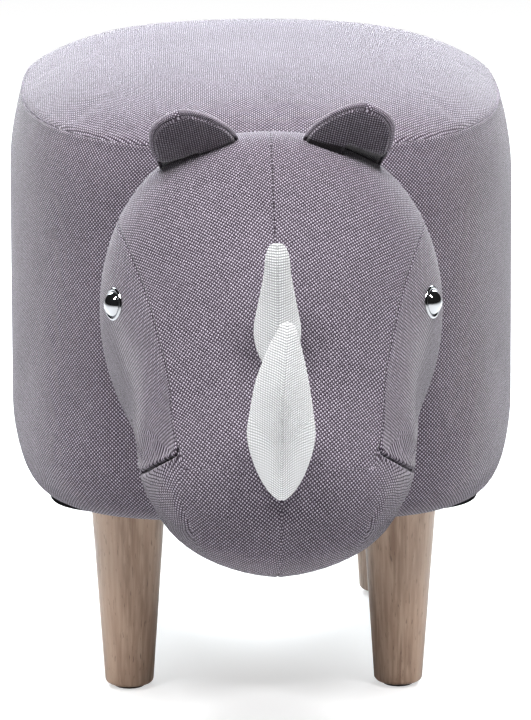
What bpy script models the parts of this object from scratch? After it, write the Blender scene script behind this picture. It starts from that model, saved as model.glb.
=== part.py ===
"""An upholstered footstool in the shape of a small rhinoceros.

The seat is a box of plywood boards and pine posts with a fibreboard wall, foam
round and over it, and a woven cover sewn from a wall panel and a domed top
panel. A stuffed head with ears, metal eyes and two knitted horns is sewn to
the front, a short tail to the back, and four turned beech legs are screwed
into the base board from below.

Lengths are in metres and +Z is up. The animal looks along -Y, its left side is
at +X, and the origin is under the middle of the finished stool, on the floor.
"""

import math

import bmesh
import bpy
from mathutils import Matrix, Vector
from mathutils.bvhtree import BVHTree

# Fits between pieces

TOUCH_GAP = 0.0003
BORE_CLEARANCE = 0.0003
PAD_JOINT = 0.0008
SEAM_GROOVE = 0.0008
MERGE_DISTANCE = 0.00001
SHARP_ANGLE = math.radians(38)

# Seat body, outer faces of the cover

BODY_WIDTH = 0.330
BODY_LENGTH = 0.400
SEAT_HEIGHT = 0.412
CROWN_RISE = 0.028
SEAM_DIP = 0.0045
UNDERSIDE_HEIGHT = 0.133
RIM_INSET = 0.0235
LOW_ROUND_HEIGHT = 0.0595
SEAM_INSET = 0.0077
HIGH_ROUND_HEIGHT = 0.0534
HIGH_ROUND_TURN = math.radians(67.5)
LOW_PLAN_POWER = 3.6
HIGH_PLAN_POWER = 2.7
CROWN_INNER_POWER = 3.1
CROWN_OUTER_POWER = 0.8
CROWN_RING_SHARES = (1, 0.975, 0.93, 0.86, 0.74, 0.56, 0.32, 0)
BODY_COLUMNS = 40
LOW_ROUND_STEPS = 4
HIGH_ROUND_STEPS = 2

# Layers of the seat

COVER_THICKNESS = 0.0012
HEM_WIDTH = 0.025
SEAT_FOAM_THICKNESS = 0.065
SEAT_BOARD_THICKNESS = 0.012
BASE_BOARD_THICKNESS = 0.015
WALL_BOARD_THICKNESS = 0.003
WALL_BOARD_INSET = 0.028
DUST_COVER_THICKNESS = 0.0006
DUST_COVER_INSET = 0.036
DUST_COVER_HOLE_CLEARANCE = 0.0015
POST_SIDE = 0.032
POST_EDGE_RADIUS = 0.0015
POST_SIDE_INSET = 0.105
POST_END_INSET = 0.065

# Legs and their fasteners

LEG_SIDE_INSET = 0.076
LEG_END_INSET = 0.0945
LEG_TOP_RADIUS = 0.0250
LEG_FOOT_RADIUS = 0.0160
LEG_FOOT_CORNER_RADIUS = 0.0030
LEG_BORE_DEPTH = 0.042
GLIDE_RADIUS = 0.0105
GLIDE_THICKNESS = 0.0020
GLIDE_EDGE = 0.0006
BOLT_RADIUS = 0.0040
BOLT_CHAMFER = 0.0008
BOLT_LENGTH = 0.062
TEE_NUT_FLANGE_RADIUS = 0.0110
TEE_NUT_FLANGE_THICKNESS = 0.0015
TEE_NUT_BARREL_RADIUS = 0.0052
TEE_NUT_BARREL_LENGTH = 0.011
SCREW_HEAD_RADIUS = 0.0040
SCREW_HEAD_HEIGHT = 0.0028
SCREW_SHANK_RADIUS = 0.0019
SCREW_LENGTH = 0.040
SCREW_POINT_LENGTH = 0.005
SCREW_SOCKET_RADIUS = 0.0018
SCREW_SOCKET_DEPTH = 0.0020
SCREW_SUNK = 0.0004
CUT_OVERRUN = 0.005
LEG_COLUMNS = 24
BOLT_COLUMNS = 16
SCREW_COLUMNS = 12
FOOT_ROUND_STEPS = 3

# Head: reach is forward from the seat body's front, height is above the chin

HEAD_REACH = 0.184
HEAD_HEIGHT = 0.258
HEAD_HALF_WIDTH = 0.1065
CHIN_BELOW_SEAT = 0.269
SNOUT_DRIFT = 0.003
# Rings from the neck to the nose: reach and height of each ring's top, middle
# and lowest point, then its half width
HEAD_RING_SHARES = (
    (-0.163, 0.841, -0.163, 0.550, -0.163, 0.182, 0.806),
    (0.016, 0.938, 0.022, 0.562, 0.027, 0.112, 0.877),
    (0.152, 0.988, 0.207, 0.593, 0.217, 0.120, 0.940),
    (0.304, 0.999, 0.370, 0.585, 0.402, 0.101, 1.000),
    (0.467, 0.934, 0.516, 0.554, 0.576, 0.031, 0.934),
    (0.609, 0.845, 0.663, 0.434, 0.712, 0.001, 0.835),
    (0.728, 0.740, 0.793, 0.298, 0.842, 0.016, 0.785),
    (0.815, 0.616, 0.875, 0.248, 0.929, 0.066, 0.654),
    (0.880, 0.508, 0.943, 0.262, 0.978, 0.130, 0.474),
    (0.935, 0.420, 0.978, 0.287, 1.000, 0.194, 0.275),
    (0.984, 0.306, 0.984, 0.306, 0.984, 0.306, 0.000),
)
HEAD_RING_POWERS = (2.3, 2.3, 2.25, 2.05, 1.95, 1.9, 1.75, 1.8, 1.9, 1.9, 1.9)
# Turns of the two seams on each side, at each ring, as shares of a half turn
FACE_SEAM_SHARES = (0.32, 0.33, 0.34, 0.345, 0.345, 0.33, 0.31, 0.38, 0.43, 0.43, 0.43)
JAW_SEAM_SHARES = (0.77, 0.77, 0.76, 0.735, 0.70, 0.63, 0.53, 0.46, 0.46, 0.46, 0.46)
HEAD_STATION_SHARES = (0, 0.08, 0.15, 0.22, 0.29, 0.36, 0.44, 0.52, 0.60, 0.67, 0.73, 0.80, 0.87, 0.92, 0.96, 1)
JAW_ROW_SHARE = 0.73
FACE_COLUMNS = 5
CHEEK_COLUMNS = 6
JAW_COLUMNS = 4

# Ears

EAR_STATION_SHARE = 0.30
EAR_TURN = math.radians(24.5)
EAR_HALF_WIDTH = 0.0258
EAR_HEIGHT = 0.0378
EAR_SLOPE_SHARE = 0.03
EAR_ROOT_DEPTH = 0.024
EAR_HALF_THICKNESS = 0.0065
EAR_TILT = math.radians(22)
EAR_LEAN_LEFT = math.radians(24)
EAR_LEAN_RIGHT = math.radians(34)
EAR_POWER = 2.3
EAR_INNER_POWER = 1.5
EAR_OUTER_POWER = 3.2
EAR_ROOT_POWER = 7
EAR_COLUMNS = 20
EAR_ROWS = 8

# Eyes: a metal dome with a stem, held by a washer inside the head

EYE_STATION_SHARE = 0.400
EYE_TURN = math.radians(80.5)
EYE_RADIUS = 0.0102
EYE_DOME_HEIGHT = 0.0062
EYE_RIM_HEIGHT = 0.0008
EYE_STEM_RADIUS = 0.0025
EYE_STEM_LENGTH = 0.015
EYE_WASHER_RADIUS = 0.0080
EYE_WASHER_THICKNESS = 0.0015
EYE_WASHER_DROP = 0.0024
EYE_COLUMNS = 20
EYE_DOME_STEPS = 4

# Horns: forward and upward shares of the horn's length for the front edge and
# the rear edge of each ring, then the share of its half width

FRONT_HORN_STATION_SHARE = 0.96
FRONT_HORN_LENGTH = 0.100
FRONT_HORN_HALF_WIDTH = 0.0200
FRONT_HORN_SHARES = (
    (-0.115, -0.240, -0.275, 0.305, 0.95),
    (0.100, -0.270, -0.035, 0.325, 0.965),
    (0.265, -0.095, 0.085, 0.405, 1.00),
    (0.405, 0.155, 0.205, 0.525, 0.92),
    (0.495, 0.435, 0.315, 0.655, 0.80),
    (0.530, 0.690, 0.400, 0.790, 0.62),
    (0.530, 0.845, 0.455, 0.870, 0.45),
    (0.500, 0.930, 0.500, 0.930, 0),
)
REAR_HORN_STATION_SHARE = 0.70
REAR_HORN_LENGTH = 0.065
REAR_HORN_HALF_WIDTH = 0.0153
REAR_HORN_SHARES = (
    (-0.030, -0.490, -0.370, 0.250, 0.98),
    (0.185, -0.385, -0.155, 0.355, 1.00),
    (0.240, -0.145, -0.025, 0.390, 0.85),
    (0.290, 0.060, 0.045, 0.490, 0.66),
    (0.345, 0.455, 0.175, 0.655, 0.54),
    (0.385, 0.700, 0.300, 0.775, 0.42),
    (0.370, 0.855, 0.370, 0.855, 0),
)
HORN_POWER = 1.8
HORN_COLUMNS = 16
HORN_ROWS_PER_RING = 2

# Tail: outward and downward shares, then the share of its radius

TAIL_BELOW_SEAT = 0.094
TAIL_STAND_OFF = 0.020
TAIL_LENGTH = 0.105
TAIL_RADIUS = 0.0075
TAIL_SHARES = (
    (-0.40, 0.00, 1.10),
    (0.30, 0.02, 1.05),
    (0.75, 0.12, 1.00),
    (0.92, 0.35, 0.92),
    (0.90, 0.65, 0.84),
    (0.88, 0.90, 0.78),
    (0.88, 0.98, 0.52),
    (0.88, 1.00, 0),
)
TAIL_COLUMNS = 12

# Heights, spreads and insets that follow from the sizes above

POST_SPREAD_ACROSS = BODY_WIDTH - 2 * POST_SIDE_INSET
POST_SPREAD_ALONG = BODY_LENGTH - 2 * POST_END_INSET
LEG_SPREAD_ACROSS = BODY_WIDTH - 2 * LEG_SIDE_INSET
LEG_SPREAD_ALONG = BODY_LENGTH - 2 * LEG_END_INSET
SEAM_HEIGHT = SEAT_HEIGHT - CROWN_RISE
CHIN_HEIGHT = SEAT_HEIGHT - CHIN_BELOW_SEAT
TAIL_HEIGHT = SEAT_HEIGHT - TAIL_BELOW_SEAT
COVER_DEPTH = COVER_THICKNESS + TOUCH_GAP
BASE_BOTTOM = UNDERSIDE_HEIGHT + COVER_DEPTH
BASE_TOP = BASE_BOTTOM + BASE_BOARD_THICKNESS
SEAT_BOARD_TOP = SEAT_HEIGHT - COVER_DEPTH - SEAT_FOAM_THICKNESS - TOUCH_GAP
SEAT_BOARD_BOTTOM = SEAT_BOARD_TOP - SEAT_BOARD_THICKNESS
LOW_ROUND_TOP = UNDERSIDE_HEIGHT + LOW_ROUND_HEIGHT
HIGH_ROUND_BOTTOM = SEAM_HEIGHT - HIGH_ROUND_HEIGHT
WALL_MIDDLE = (LOW_ROUND_TOP + HIGH_ROUND_BOTTOM) / 2
BOARD_INSET = WALL_BOARD_INSET + WALL_BOARD_THICKNESS + TOUCH_GAP
STRUCTURE_HEIGHTS = (BASE_BOTTOM, WALL_MIDDLE, SEAT_BOARD_TOP)
LEG_BOTTOM = GLIDE_THICKNESS + TOUCH_GAP
LEG_TOP = BASE_BOTTOM - TOUCH_GAP
BOLT_TOP = LEG_TOP - LEG_BORE_DEPTH + TOUCH_GAP + BOLT_LENGTH
DUST_COVER_TOP = UNDERSIDE_HEIGHT - TOUCH_GAP

# Where the columns of each head panel start and end, with one groove between panels

FACE_END = FACE_COLUMNS
CHEEK_START = FACE_END + 1
CHEEK_END = CHEEK_START + CHEEK_COLUMNS
JAW_START = CHEEK_END + 1
JAW_END = JAW_START + JAW_COLUMNS
HEAD_COLUMNS = 2 * JAW_END + 2

CORNER_SIGNS = (
    ("front_left", 1, -1),
    ("front_right", -1, -1),
    ("rear_left", 1, 1),
    ("rear_right", -1, 1),
)


# Materials

def make_material(name, colour, roughness, metallic=0):
    """A Principled material of one colour."""
    material = bpy.data.materials.new(name)
    material.use_nodes = True
    shader = material.node_tree.nodes["Principled BSDF"]
    shader.inputs["Base Color"].default_value = (*colour, 1)
    shader.inputs["Roughness"].default_value = roughness
    shader.inputs["Metallic"].default_value = metallic
    return material


def make_materials():
    return {
        "woven_cover": make_material("woven_cover", (0.31, 0.28, 0.31), 0.9),
        "horn_knit": make_material("horn_knit", (0.76, 0.76, 0.77), 0.85),
        "beech": make_material("beech", (0.50, 0.36, 0.26), 0.55),
        "chrome": make_material("chrome", (0.85, 0.86, 0.88), 0.08, 1),
        "plywood": make_material("plywood", (0.62, 0.46, 0.29), 0.7),
        "pine": make_material("pine", (0.72, 0.55, 0.34), 0.7),
        "fibreboard": make_material("fibreboard", (0.34, 0.24, 0.16), 0.8),
        "foam": make_material("foam", (0.85, 0.80, 0.62), 0.95),
        "fibre_fill": make_material("fibre_fill", (0.90, 0.90, 0.88), 1),
        "zinc_steel": make_material("zinc_steel", (0.60, 0.60, 0.57), 0.35, 1),
        "dust_cloth": make_material("dust_cloth", (0.02, 0.02, 0.02), 0.95),
        "nylon": make_material("nylon", (0.80, 0.80, 0.78), 0.4),
        "glide_plastic": make_material("glide_plastic", (0.12, 0.10, 0.09), 0.5),
    }


# Shared mesh helpers

def smooth_row(table, share):
    """A smooth curve through the rows of a table, read at a share of its length."""
    last = len(table) - 1
    spot = min(max(share, 0), 1) * last
    index = min(int(spot), last - 1)
    rest = spot - index
    before = table[max(index - 1, 0)]
    here = table[index]
    after = table[index + 1]
    beyond = table[min(index + 2, last)]
    row = []
    for a, b, c, d in zip(before, here, after, beyond):
        slope_in = (c - a) / 2
        slope_out = (d - b) / 2
        cubic = 2 * b - 2 * c + slope_in + slope_out
        square = 3 * c - 3 * b - 2 * slope_in - slope_out
        row.append(b + rest * (slope_in + rest * (square + rest * cubic)))
    return row


def rounded_unit(angle, power):
    """Cosine and sine of an angle on a superellipse of half size 1."""
    cosine, sine = math.cos(angle), math.sin(angle)
    return (
        math.copysign(abs(cosine) ** (2 / power), cosine),
        math.copysign(abs(sine) ** (2 / power), sine),
    )


def closed_solid(columns, rows, point_at):
    """A grid bent until it closes on itself, its corners at point_at(column, row).

    Each face keeps its cell of the grid, counted from 1 along the rows; a face
    that fills an open end has cell 0.
    """
    solid = bmesh.new()
    bmesh.ops.create_grid(solid, x_segments=columns, y_segments=rows, size=1)
    cell = solid.faces.layers.int.new("cell")
    for face in solid.faces:
        middle = (face.calc_center_median() + Vector((1, 1, 0))) / 2
        face[cell] = int(middle.x * columns) + columns * int(middle.y * rows) + 1
    for vertex in solid.verts:
        column = round((vertex.co.x + 1) / 2 * columns)
        row = round((vertex.co.y + 1) / 2 * rows)
        vertex.co = point_at(column, row)
    bmesh.ops.remove_doubles(solid, verts=solid.verts, dist=MERGE_DISTANCE)
    rim = [edge for edge in solid.edges if edge.is_boundary]
    if rim:
        bmesh.ops.holes_fill(solid, edges=rim, sides=0)
    bmesh.ops.recalc_face_normals(solid, faces=solid.faces)
    return solid


def turned_solid(profile, columns):
    """A solid of revolution about Z from (radius, height) points, axis to axis."""
    def point_at(column, row):
        angle = 2 * math.pi * (column % columns) / columns
        radius, height = profile[row]
        return Vector((radius * math.cos(angle), radius * math.sin(angle), height))
    return closed_solid(columns, len(profile) - 1, point_at)


def to_mesh(name, solid):
    """Turn a bmesh into smooth-shaded mesh data with its hard edges kept."""
    mesh = bpy.data.meshes.new(name)
    solid.to_mesh(mesh)
    solid.free()
    mesh.shade_smooth()
    mesh.set_sharp_from_angle(angle=SHARP_ANGLE)
    return mesh


def place(name, mesh, material, parent, location=(0, 0, 0), rotation=None):
    """Make one named object of a mesh, standing under the stool's parent."""
    piece = bpy.data.objects.new(name, mesh)
    if material is not None and not mesh.materials:
        mesh.materials.append(material)
    bpy.context.scene.collection.objects.link(piece)
    piece.parent = parent
    piece.location = location
    if rotation is not None:
        piece.rotation_mode = "QUATERNION"
        piece.rotation_quaternion = rotation
    return piece


def place_cutter(name, solid, parent):
    """A hidden shape that others are cut by."""
    cutter = place(name, to_mesh(name, solid), None, parent)
    cutter.hide_render = True
    cutter.display_type = "WIRE"
    return cutter


def cut(piece, cutter):
    modifier = piece.modifiers.new("cut_" + cutter.name, "BOOLEAN")
    modifier.operation = "DIFFERENCE"
    modifier.solver = "EXACT"
    modifier.object = cutter


def copies_of(solid, matrices):
    """One bmesh that holds a copy of a solid at each matrix."""
    source = bpy.data.meshes.new("copied")
    solid.to_mesh(source)
    solid.free()
    together = bmesh.new()
    for matrix in matrices:
        start = len(together.verts)
        together.from_mesh(source)
        together.verts.ensure_lookup_table()
        bmesh.ops.transform(together, matrix=matrix, verts=together.verts[start:])
    bpy.data.meshes.remove(source)
    return together


# Shape of the seat body

def share_between(value, low, high):
    return min(max((value - low) / (high - low), 0), 1)


def body_point(column, inset, height):
    """A point of the seat body, inset from its widest outline, at a height."""
    rise = share_between(height, UNDERSIDE_HEIGHT, SEAM_HEIGHT)
    power = LOW_PLAN_POWER + (HIGH_PLAN_POWER - LOW_PLAN_POWER) * rise
    across, along = rounded_unit(2 * math.pi * column / BODY_COLUMNS, power)
    dip = SEAM_DIP * along * along * share_between(height, SEAT_BOARD_TOP, SEAM_HEIGHT)
    return Vector((
        (BODY_WIDTH / 2 - inset) * across,
        (BODY_LENGTH / 2 - inset) * along,
        height - dip,
    ))


def high_round_inset(height):
    """How far the wall is drawn in towards the top seam at a height."""
    rise = share_between(height, HIGH_ROUND_BOTTOM, SEAM_HEIGHT)
    turn = math.asin(rise * math.sin(HIGH_ROUND_TURN))
    return SEAM_INSET * (1 - math.cos(turn)) / (1 - math.cos(HIGH_ROUND_TURN))


def wall_profile(depth):
    """Inset and height from the lower rim to the top seam, at a depth below the cloth."""
    profile = []
    for step in range(LOW_ROUND_STEPS + 1):
        turn = math.pi / 2 * step / LOW_ROUND_STEPS
        rise = (LOW_ROUND_HEIGHT - depth) * (1 - math.cos(turn))
        profile.append((RIM_INSET * (1 - math.sin(turn)) + depth, UNDERSIDE_HEIGHT + depth + rise))
    profile.append((depth, WALL_MIDDLE))
    profile.append((depth, HIGH_ROUND_BOTTOM))
    for step in range(HIGH_ROUND_STEPS + 1):
        height = SEAT_BOARD_TOP + (SEAM_HEIGHT - SEAT_BOARD_TOP) * step / HIGH_ROUND_STEPS
        profile.append((high_round_inset(height) + depth, height))
    return profile


def crown_point(column, ring_share, depth):
    """A point of the domed top, at a depth below the cloth."""
    edge = body_point(column, SEAM_INSET + depth, SEAM_HEIGHT)
    lift = (1 - ring_share ** CROWN_INNER_POWER) ** CROWN_OUTER_POWER
    height = edge.z * (1 - lift) + (SEAT_HEIGHT - depth) * lift
    return Vector((edge.x * ring_share, edge.y * ring_share, height))


def swept_solid(profile):
    """Sweep a closed profile of (inset, height) points round the body's plan."""
    def point_at(column, row):
        inset, height = profile[row % len(profile)]
        return body_point(column % BODY_COLUMNS, inset, height)
    return closed_solid(BODY_COLUMNS, len(profile), point_at)


def body_envelope(depth):
    """The whole seat body as one closed shape."""
    walls = wall_profile(depth)
    rings = CROWN_RING_SHARES[1:]

    def point_at(column, row):
        column %= BODY_COLUMNS
        if row == 0:
            return Vector((0, 0, UNDERSIDE_HEIGHT + depth))
        if row <= len(walls):
            return body_point(column, *walls[row - 1])
        return crown_point(column, rings[row - len(walls) - 1], depth)
    return closed_solid(BODY_COLUMNS, len(walls) + len(rings), point_at)


# Frame of the seat

def make_boards(parent, materials):
    """The two plywood boards, as wide as the wall board lets them be."""
    boards = {}
    for name, low, high in (
        ("base_board", BASE_BOTTOM, BASE_TOP),
        ("seat_board", SEAT_BOARD_BOTTOM, SEAT_BOARD_TOP),
    ):
        def point_at(column, row, low=low, high=high):
            height = low if row < 2 else high
            if row in (0, 3):
                return Vector((0, 0, height))
            return body_point(column % BODY_COLUMNS, BOARD_INSET, height)
        solid = closed_solid(BODY_COLUMNS, 3, point_at)
        hubs = [vertex for vertex in solid.verts if vertex.co.xy.length < BOARD_INSET]
        bmesh.ops.dissolve_verts(solid, verts=hubs)
        boards[name] = place(name, to_mesh(name, solid), materials["plywood"], parent)
    return boards


def make_wall_board(parent, materials):
    """The thin fibreboard band that is bent round both boards."""
    outer = [(WALL_BOARD_INSET, height) for height in STRUCTURE_HEIGHTS]
    inner = [(WALL_BOARD_INSET + WALL_BOARD_THICKNESS, height) for height in reversed(STRUCTURE_HEIGHTS)]
    mesh = to_mesh("wall_board", swept_solid(outer + inner))
    place("wall_board", mesh, materials["fibreboard"], parent)


def make_posts(parent, materials):
    """Four square posts between the boards."""
    height = SEAT_BOARD_BOTTOM - BASE_TOP - 2 * TOUCH_GAP
    post = bmesh.new()
    bmesh.ops.create_cube(post, size=1)
    bmesh.ops.scale(post, vec=(POST_SIDE, POST_SIDE, height), verts=post.verts)
    upright = [edge for edge in post.edges if abs(edge.verts[0].co.z - edge.verts[1].co.z) > POST_SIDE]
    bmesh.ops.bevel(
        post, geom=upright, offset=POST_EDGE_RADIUS, offset_type="OFFSET", segments=2,
        profile=0.5, affect="EDGES", material=-1,
    )
    mesh = to_mesh("post", post)
    posts = []
    for corner, side, end in CORNER_SIGNS:
        middle = (
            side * POST_SPREAD_ACROSS / 2,
            end * POST_SPREAD_ALONG / 2,
            (BASE_TOP + SEAT_BOARD_BOTTOM) / 2,
        )
        posts.append(place("frame_post_" + corner, mesh, materials["pine"], parent, middle))
    return posts


def screw_profile(clearance, top):
    """A countersunk wood screw, head up, from its point to the top of its head."""
    head = SCREW_HEAD_RADIUS + clearance
    shank = SCREW_SHANK_RADIUS + clearance
    tip = -SCREW_LENGTH - clearance
    return [
        (0, tip),
        (shank, tip + SCREW_POINT_LENGTH),
        (shank, -SCREW_HEAD_HEIGHT - clearance),
        (head, 0),
        (head, top),
    ]


def make_screws(parent, materials, boards, posts):
    """Two screws a post, one down through the seat board and one up from below."""
    profile = screw_profile(0, 0)[:-1]
    profile += [(SCREW_SOCKET_RADIUS, 0), (0, -SCREW_SOCKET_DEPTH)]
    mesh = to_mesh("post_screw", turned_solid(profile, SCREW_COLUMNS))
    hole = screw_profile(BORE_CLEARANCE, CUT_OVERRUN) + [(0, CUT_OVERRUN)]
    upside_down = Matrix.Rotation(math.pi, 4, "X")
    for level, height, turn, board in (
        ("low", BASE_BOTTOM + SCREW_SUNK, upside_down, boards["base_board"]),
        ("high", SEAT_BOARD_TOP - SCREW_SUNK, Matrix.Identity(4), boards["seat_board"]),
    ):
        seats = []
        for corner, side, end in CORNER_SIGNS:
            across = side * POST_SPREAD_ACROSS / 2
            along = end * POST_SPREAD_ALONG / 2
            seats.append(Matrix.Translation((across, along, height)) @ turn)
            name = "post_screw_" + level + "_" + corner
            location = seats[-1].to_translation()
            place(name, mesh, materials["zinc_steel"], parent, location, turn.to_quaternion())
        holes = copies_of(turned_solid(hole, SCREW_COLUMNS), seats)
        cutter = place_cutter("screw_holes_" + level, holes, parent)
        cut(board, cutter)
        for post in posts:
            cut(post, cutter)


# Foam and covers of the seat

def make_side_foam(parent, materials):
    """Four foam pads glued to the wall board, butted together at the corners."""
    inner_inset = WALL_BOARD_INSET - TOUCH_GAP
    outer = [spot for spot in wall_profile(COVER_DEPTH) if spot[1] <= SEAT_BOARD_TOP]
    inner = [(inner_inset, height) for height in reversed(STRUCTURE_HEIGHTS)]
    profile = outer + inner
    quarter = BODY_COLUMNS // 4
    joint = PAD_JOINT / (math.pi * BODY_WIDTH) * BODY_COLUMNS
    for index, side in enumerate(("left", "rear", "right", "front")):
        start = (index - 0.5) * quarter

        def point_at(column, row, start=start):
            turn = start + column
            if column == 0:
                turn += joint / 2
            if column == quarter:
                turn -= joint / 2
            return body_point(turn, *profile[row % len(profile)])
        name = "side_foam_" + side
        mesh = to_mesh(name, closed_solid(quarter, len(profile), point_at))
        place(name, mesh, materials["foam"], parent)


def make_seat_foam(parent, materials):
    """The thick seat cushion, flat below and domed above."""
    bottom = SEAT_BOARD_TOP + TOUCH_GAP
    walls = [(high_round_inset(bottom) + COVER_DEPTH, bottom)]
    walls += [spot for spot in wall_profile(COVER_DEPTH) if spot[1] > bottom]
    rings = CROWN_RING_SHARES[1:]

    def point_at(column, row):
        column %= BODY_COLUMNS
        if row == 0:
            return Vector((0, 0, bottom))
        if row <= len(walls):
            return body_point(column, *walls[row - 1])
        return crown_point(column, rings[row - len(walls) - 1], COVER_DEPTH)
    solid = closed_solid(BODY_COLUMNS, len(walls) + len(rings), point_at)
    place("seat_foam", to_mesh("seat_foam", solid), materials["foam"], parent)


def make_covers(parent, materials, leg_holes):
    """The wall panel, its hem turned under and cut round the legs, and the domed top panel."""
    hem = (RIM_INSET + HEM_WIDTH, UNDERSIDE_HEIGHT)
    outer = [hem] + wall_profile(0)
    inner = wall_profile(COVER_THICKNESS)
    inner = [(hem[0], UNDERSIDE_HEIGHT + COVER_THICKNESS)] + inner
    outer[-1] = (outer[-1][0], SEAM_HEIGHT - TOUCH_GAP)
    inner[-1] = (inner[-1][0], SEAM_HEIGHT - TOUCH_GAP)
    mesh = to_mesh("side_cover", swept_solid(outer + inner[::-1]))
    side_cover = place("side_cover", mesh, materials["woven_cover"], parent)
    cut(side_cover, leg_holes)

    rings = len(CROWN_RING_SHARES)

    def point_at(column, row):
        column %= BODY_COLUMNS
        if row < rings:
            return crown_point(column, CROWN_RING_SHARES[rings - 1 - row], 0)
        return crown_point(column, CROWN_RING_SHARES[row - rings], COVER_THICKNESS)
    mesh = to_mesh("seat_cover", closed_solid(BODY_COLUMNS, 2 * rings - 1, point_at))
    place("seat_cover", mesh, materials["woven_cover"], parent)


def make_leg_holes(parent):
    """What the cloths under the seat are cut away by, round each leg."""
    radius = LEG_TOP_RADIUS + DUST_COVER_HOLE_CLEARANCE
    low = DUST_COVER_TOP - DUST_COVER_THICKNESS - CUT_OVERRUN
    high = UNDERSIDE_HEIGHT + CUT_OVERRUN
    hole = turned_solid([(0, low), (radius, low), (radius, high), (0, high)], LEG_COLUMNS)
    return place_cutter("leg_holes", copies_of(hole, leg_places()), parent)


def make_dust_cover(parent, materials, leg_holes):
    """The black cloth under the seat, with a hole round each leg."""
    low = DUST_COVER_TOP - DUST_COVER_THICKNESS

    def point_at(column, row):
        height = low if row < 2 else DUST_COVER_TOP
        if row in (0, 3):
            return Vector((0, 0, height))
        spot = body_point(column % BODY_COLUMNS, DUST_COVER_INSET, UNDERSIDE_HEIGHT)
        return Vector((spot.x, spot.y, height))
    solid = closed_solid(BODY_COLUMNS, 3, point_at)
    hubs = [vertex for vertex in solid.verts if vertex.co.xy.length < DUST_COVER_INSET]
    bmesh.ops.dissolve_verts(solid, verts=hubs)
    cloth = place("dust_cover", to_mesh("dust_cover", solid), materials["dust_cloth"], parent)
    cut(cloth, leg_holes)


# Legs

def leg_places():
    """The four upright axes that legs, glides, bolts and tee nuts stand on."""
    return [
        Matrix.Translation((side * LEG_SPREAD_ACROSS / 2, end * LEG_SPREAD_ALONG / 2, 0))
        for corner, side, end in CORNER_SIGNS
    ]


def leg_profile():
    """Foot rounding, straight taper, flat top and the bore for the bolt."""
    bore = BOLT_RADIUS + BORE_CLEARANCE
    profile = [(0, LEG_BOTTOM)]
    for step in range(FOOT_ROUND_STEPS + 1):
        turn = math.pi / 2 * step / FOOT_ROUND_STEPS
        radius = LEG_FOOT_RADIUS - LEG_FOOT_CORNER_RADIUS * (1 - math.sin(turn))
        profile.append((radius, LEG_BOTTOM + LEG_FOOT_CORNER_RADIUS * (1 - math.cos(turn))))
    profile += [
        (LEG_TOP_RADIUS, LEG_TOP),
        (bore, LEG_TOP),
        (bore, LEG_TOP - LEG_BORE_DEPTH),
        (0, LEG_TOP - LEG_BORE_DEPTH),
    ]
    return profile


def glide_profile():
    return [
        (0, 0),
        (GLIDE_RADIUS - GLIDE_EDGE, 0),
        (GLIDE_RADIUS, GLIDE_EDGE),
        (GLIDE_RADIUS, GLIDE_THICKNESS),
        (0, GLIDE_THICKNESS),
    ]


def bolt_profile():
    foot = BOLT_TOP - BOLT_LENGTH
    return [
        (0, foot),
        (BOLT_RADIUS - BOLT_CHAMFER, foot),
        (BOLT_RADIUS, foot + BOLT_CHAMFER),
        (BOLT_RADIUS, BOLT_TOP - BOLT_CHAMFER),
        (BOLT_RADIUS - BOLT_CHAMFER, BOLT_TOP),
        (0, BOLT_TOP),
    ]


def tee_nut_profile():
    """Barrel in the board and flange on top of it, with a clear bore."""
    flange_low = BASE_TOP + TOUCH_GAP
    flange_high = flange_low + TEE_NUT_FLANGE_THICKNESS
    barrel_low = flange_low - TEE_NUT_BARREL_LENGTH
    bore = BOLT_RADIUS + BORE_CLEARANCE
    return [
        (bore, barrel_low),
        (TEE_NUT_BARREL_RADIUS, barrel_low),
        (TEE_NUT_BARREL_RADIUS, flange_low),
        (TEE_NUT_FLANGE_RADIUS, flange_low),
        (TEE_NUT_FLANGE_RADIUS, flange_high),
        (bore, flange_high),
        (bore, barrel_low),
    ]


def make_legs(parent, materials, base_board):
    """Leg, glide, hanger bolt and tee nut at each corner."""
    kinds = (
        ("leg_", leg_profile(), LEG_COLUMNS, "beech"),
        ("glide_", glide_profile(), BOLT_COLUMNS, "glide_plastic"),
        ("hanger_bolt_", bolt_profile(), BOLT_COLUMNS, "zinc_steel"),
        ("tee_nut_", tee_nut_profile(), BOLT_COLUMNS, "zinc_steel"),
    )
    for prefix, profile, columns, material in kinds:
        mesh = to_mesh(prefix + "shape", turned_solid(profile, columns))
        for (corner, side, end), spot in zip(CORNER_SIGNS, leg_places()):
            location = spot.to_translation()
            place(prefix + corner, mesh, materials[material], parent, location)
    radius = TEE_NUT_BARREL_RADIUS + BORE_CLEARANCE
    hole = [
        (0, BASE_BOTTOM - CUT_OVERRUN), (radius, BASE_BOTTOM - CUT_OVERRUN),
        (radius, BASE_TOP + CUT_OVERRUN), (0, BASE_TOP + CUT_OVERRUN),
    ]
    holes = copies_of(turned_solid(hole, BOLT_COLUMNS), leg_places())
    cut(base_board, place_cutter("tee_nut_holes", holes, parent))


# Head

def drifted(point):
    """Move a point of the head sideways, as the snout is sewn a little to its left."""
    reach = max((-BODY_LENGTH / 2 - point.y) / HEAD_REACH, 0)
    return point + Vector((SNOUT_DRIFT * reach ** 3, 0, 0))


def head_point(station, turn):
    """A point of the head's skin: station from neck to nose, turn from the crown down."""
    row = smooth_row(HEAD_RING_SHARES, station)
    power = smooth_row([(value,) for value in HEAD_RING_POWERS], station)[0]
    level, side = rounded_unit(turn, power)
    place_in_ring = []
    for top, middle, low in ((row[0], row[2], row[4]), (row[1], row[3], row[5])):
        place_in_ring.append(
            middle + level * (top - low) / 2 + level * level * ((top + low) / 2 - middle)
        )
    reach, height = place_in_ring
    return drifted(Vector((
        side * max(row[6], 0) * HEAD_HALF_WIDTH,
        -BODY_LENGTH / 2 - reach * HEAD_REACH,
        CHIN_HEIGHT + height * HEAD_HEIGHT,
    )))


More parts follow.
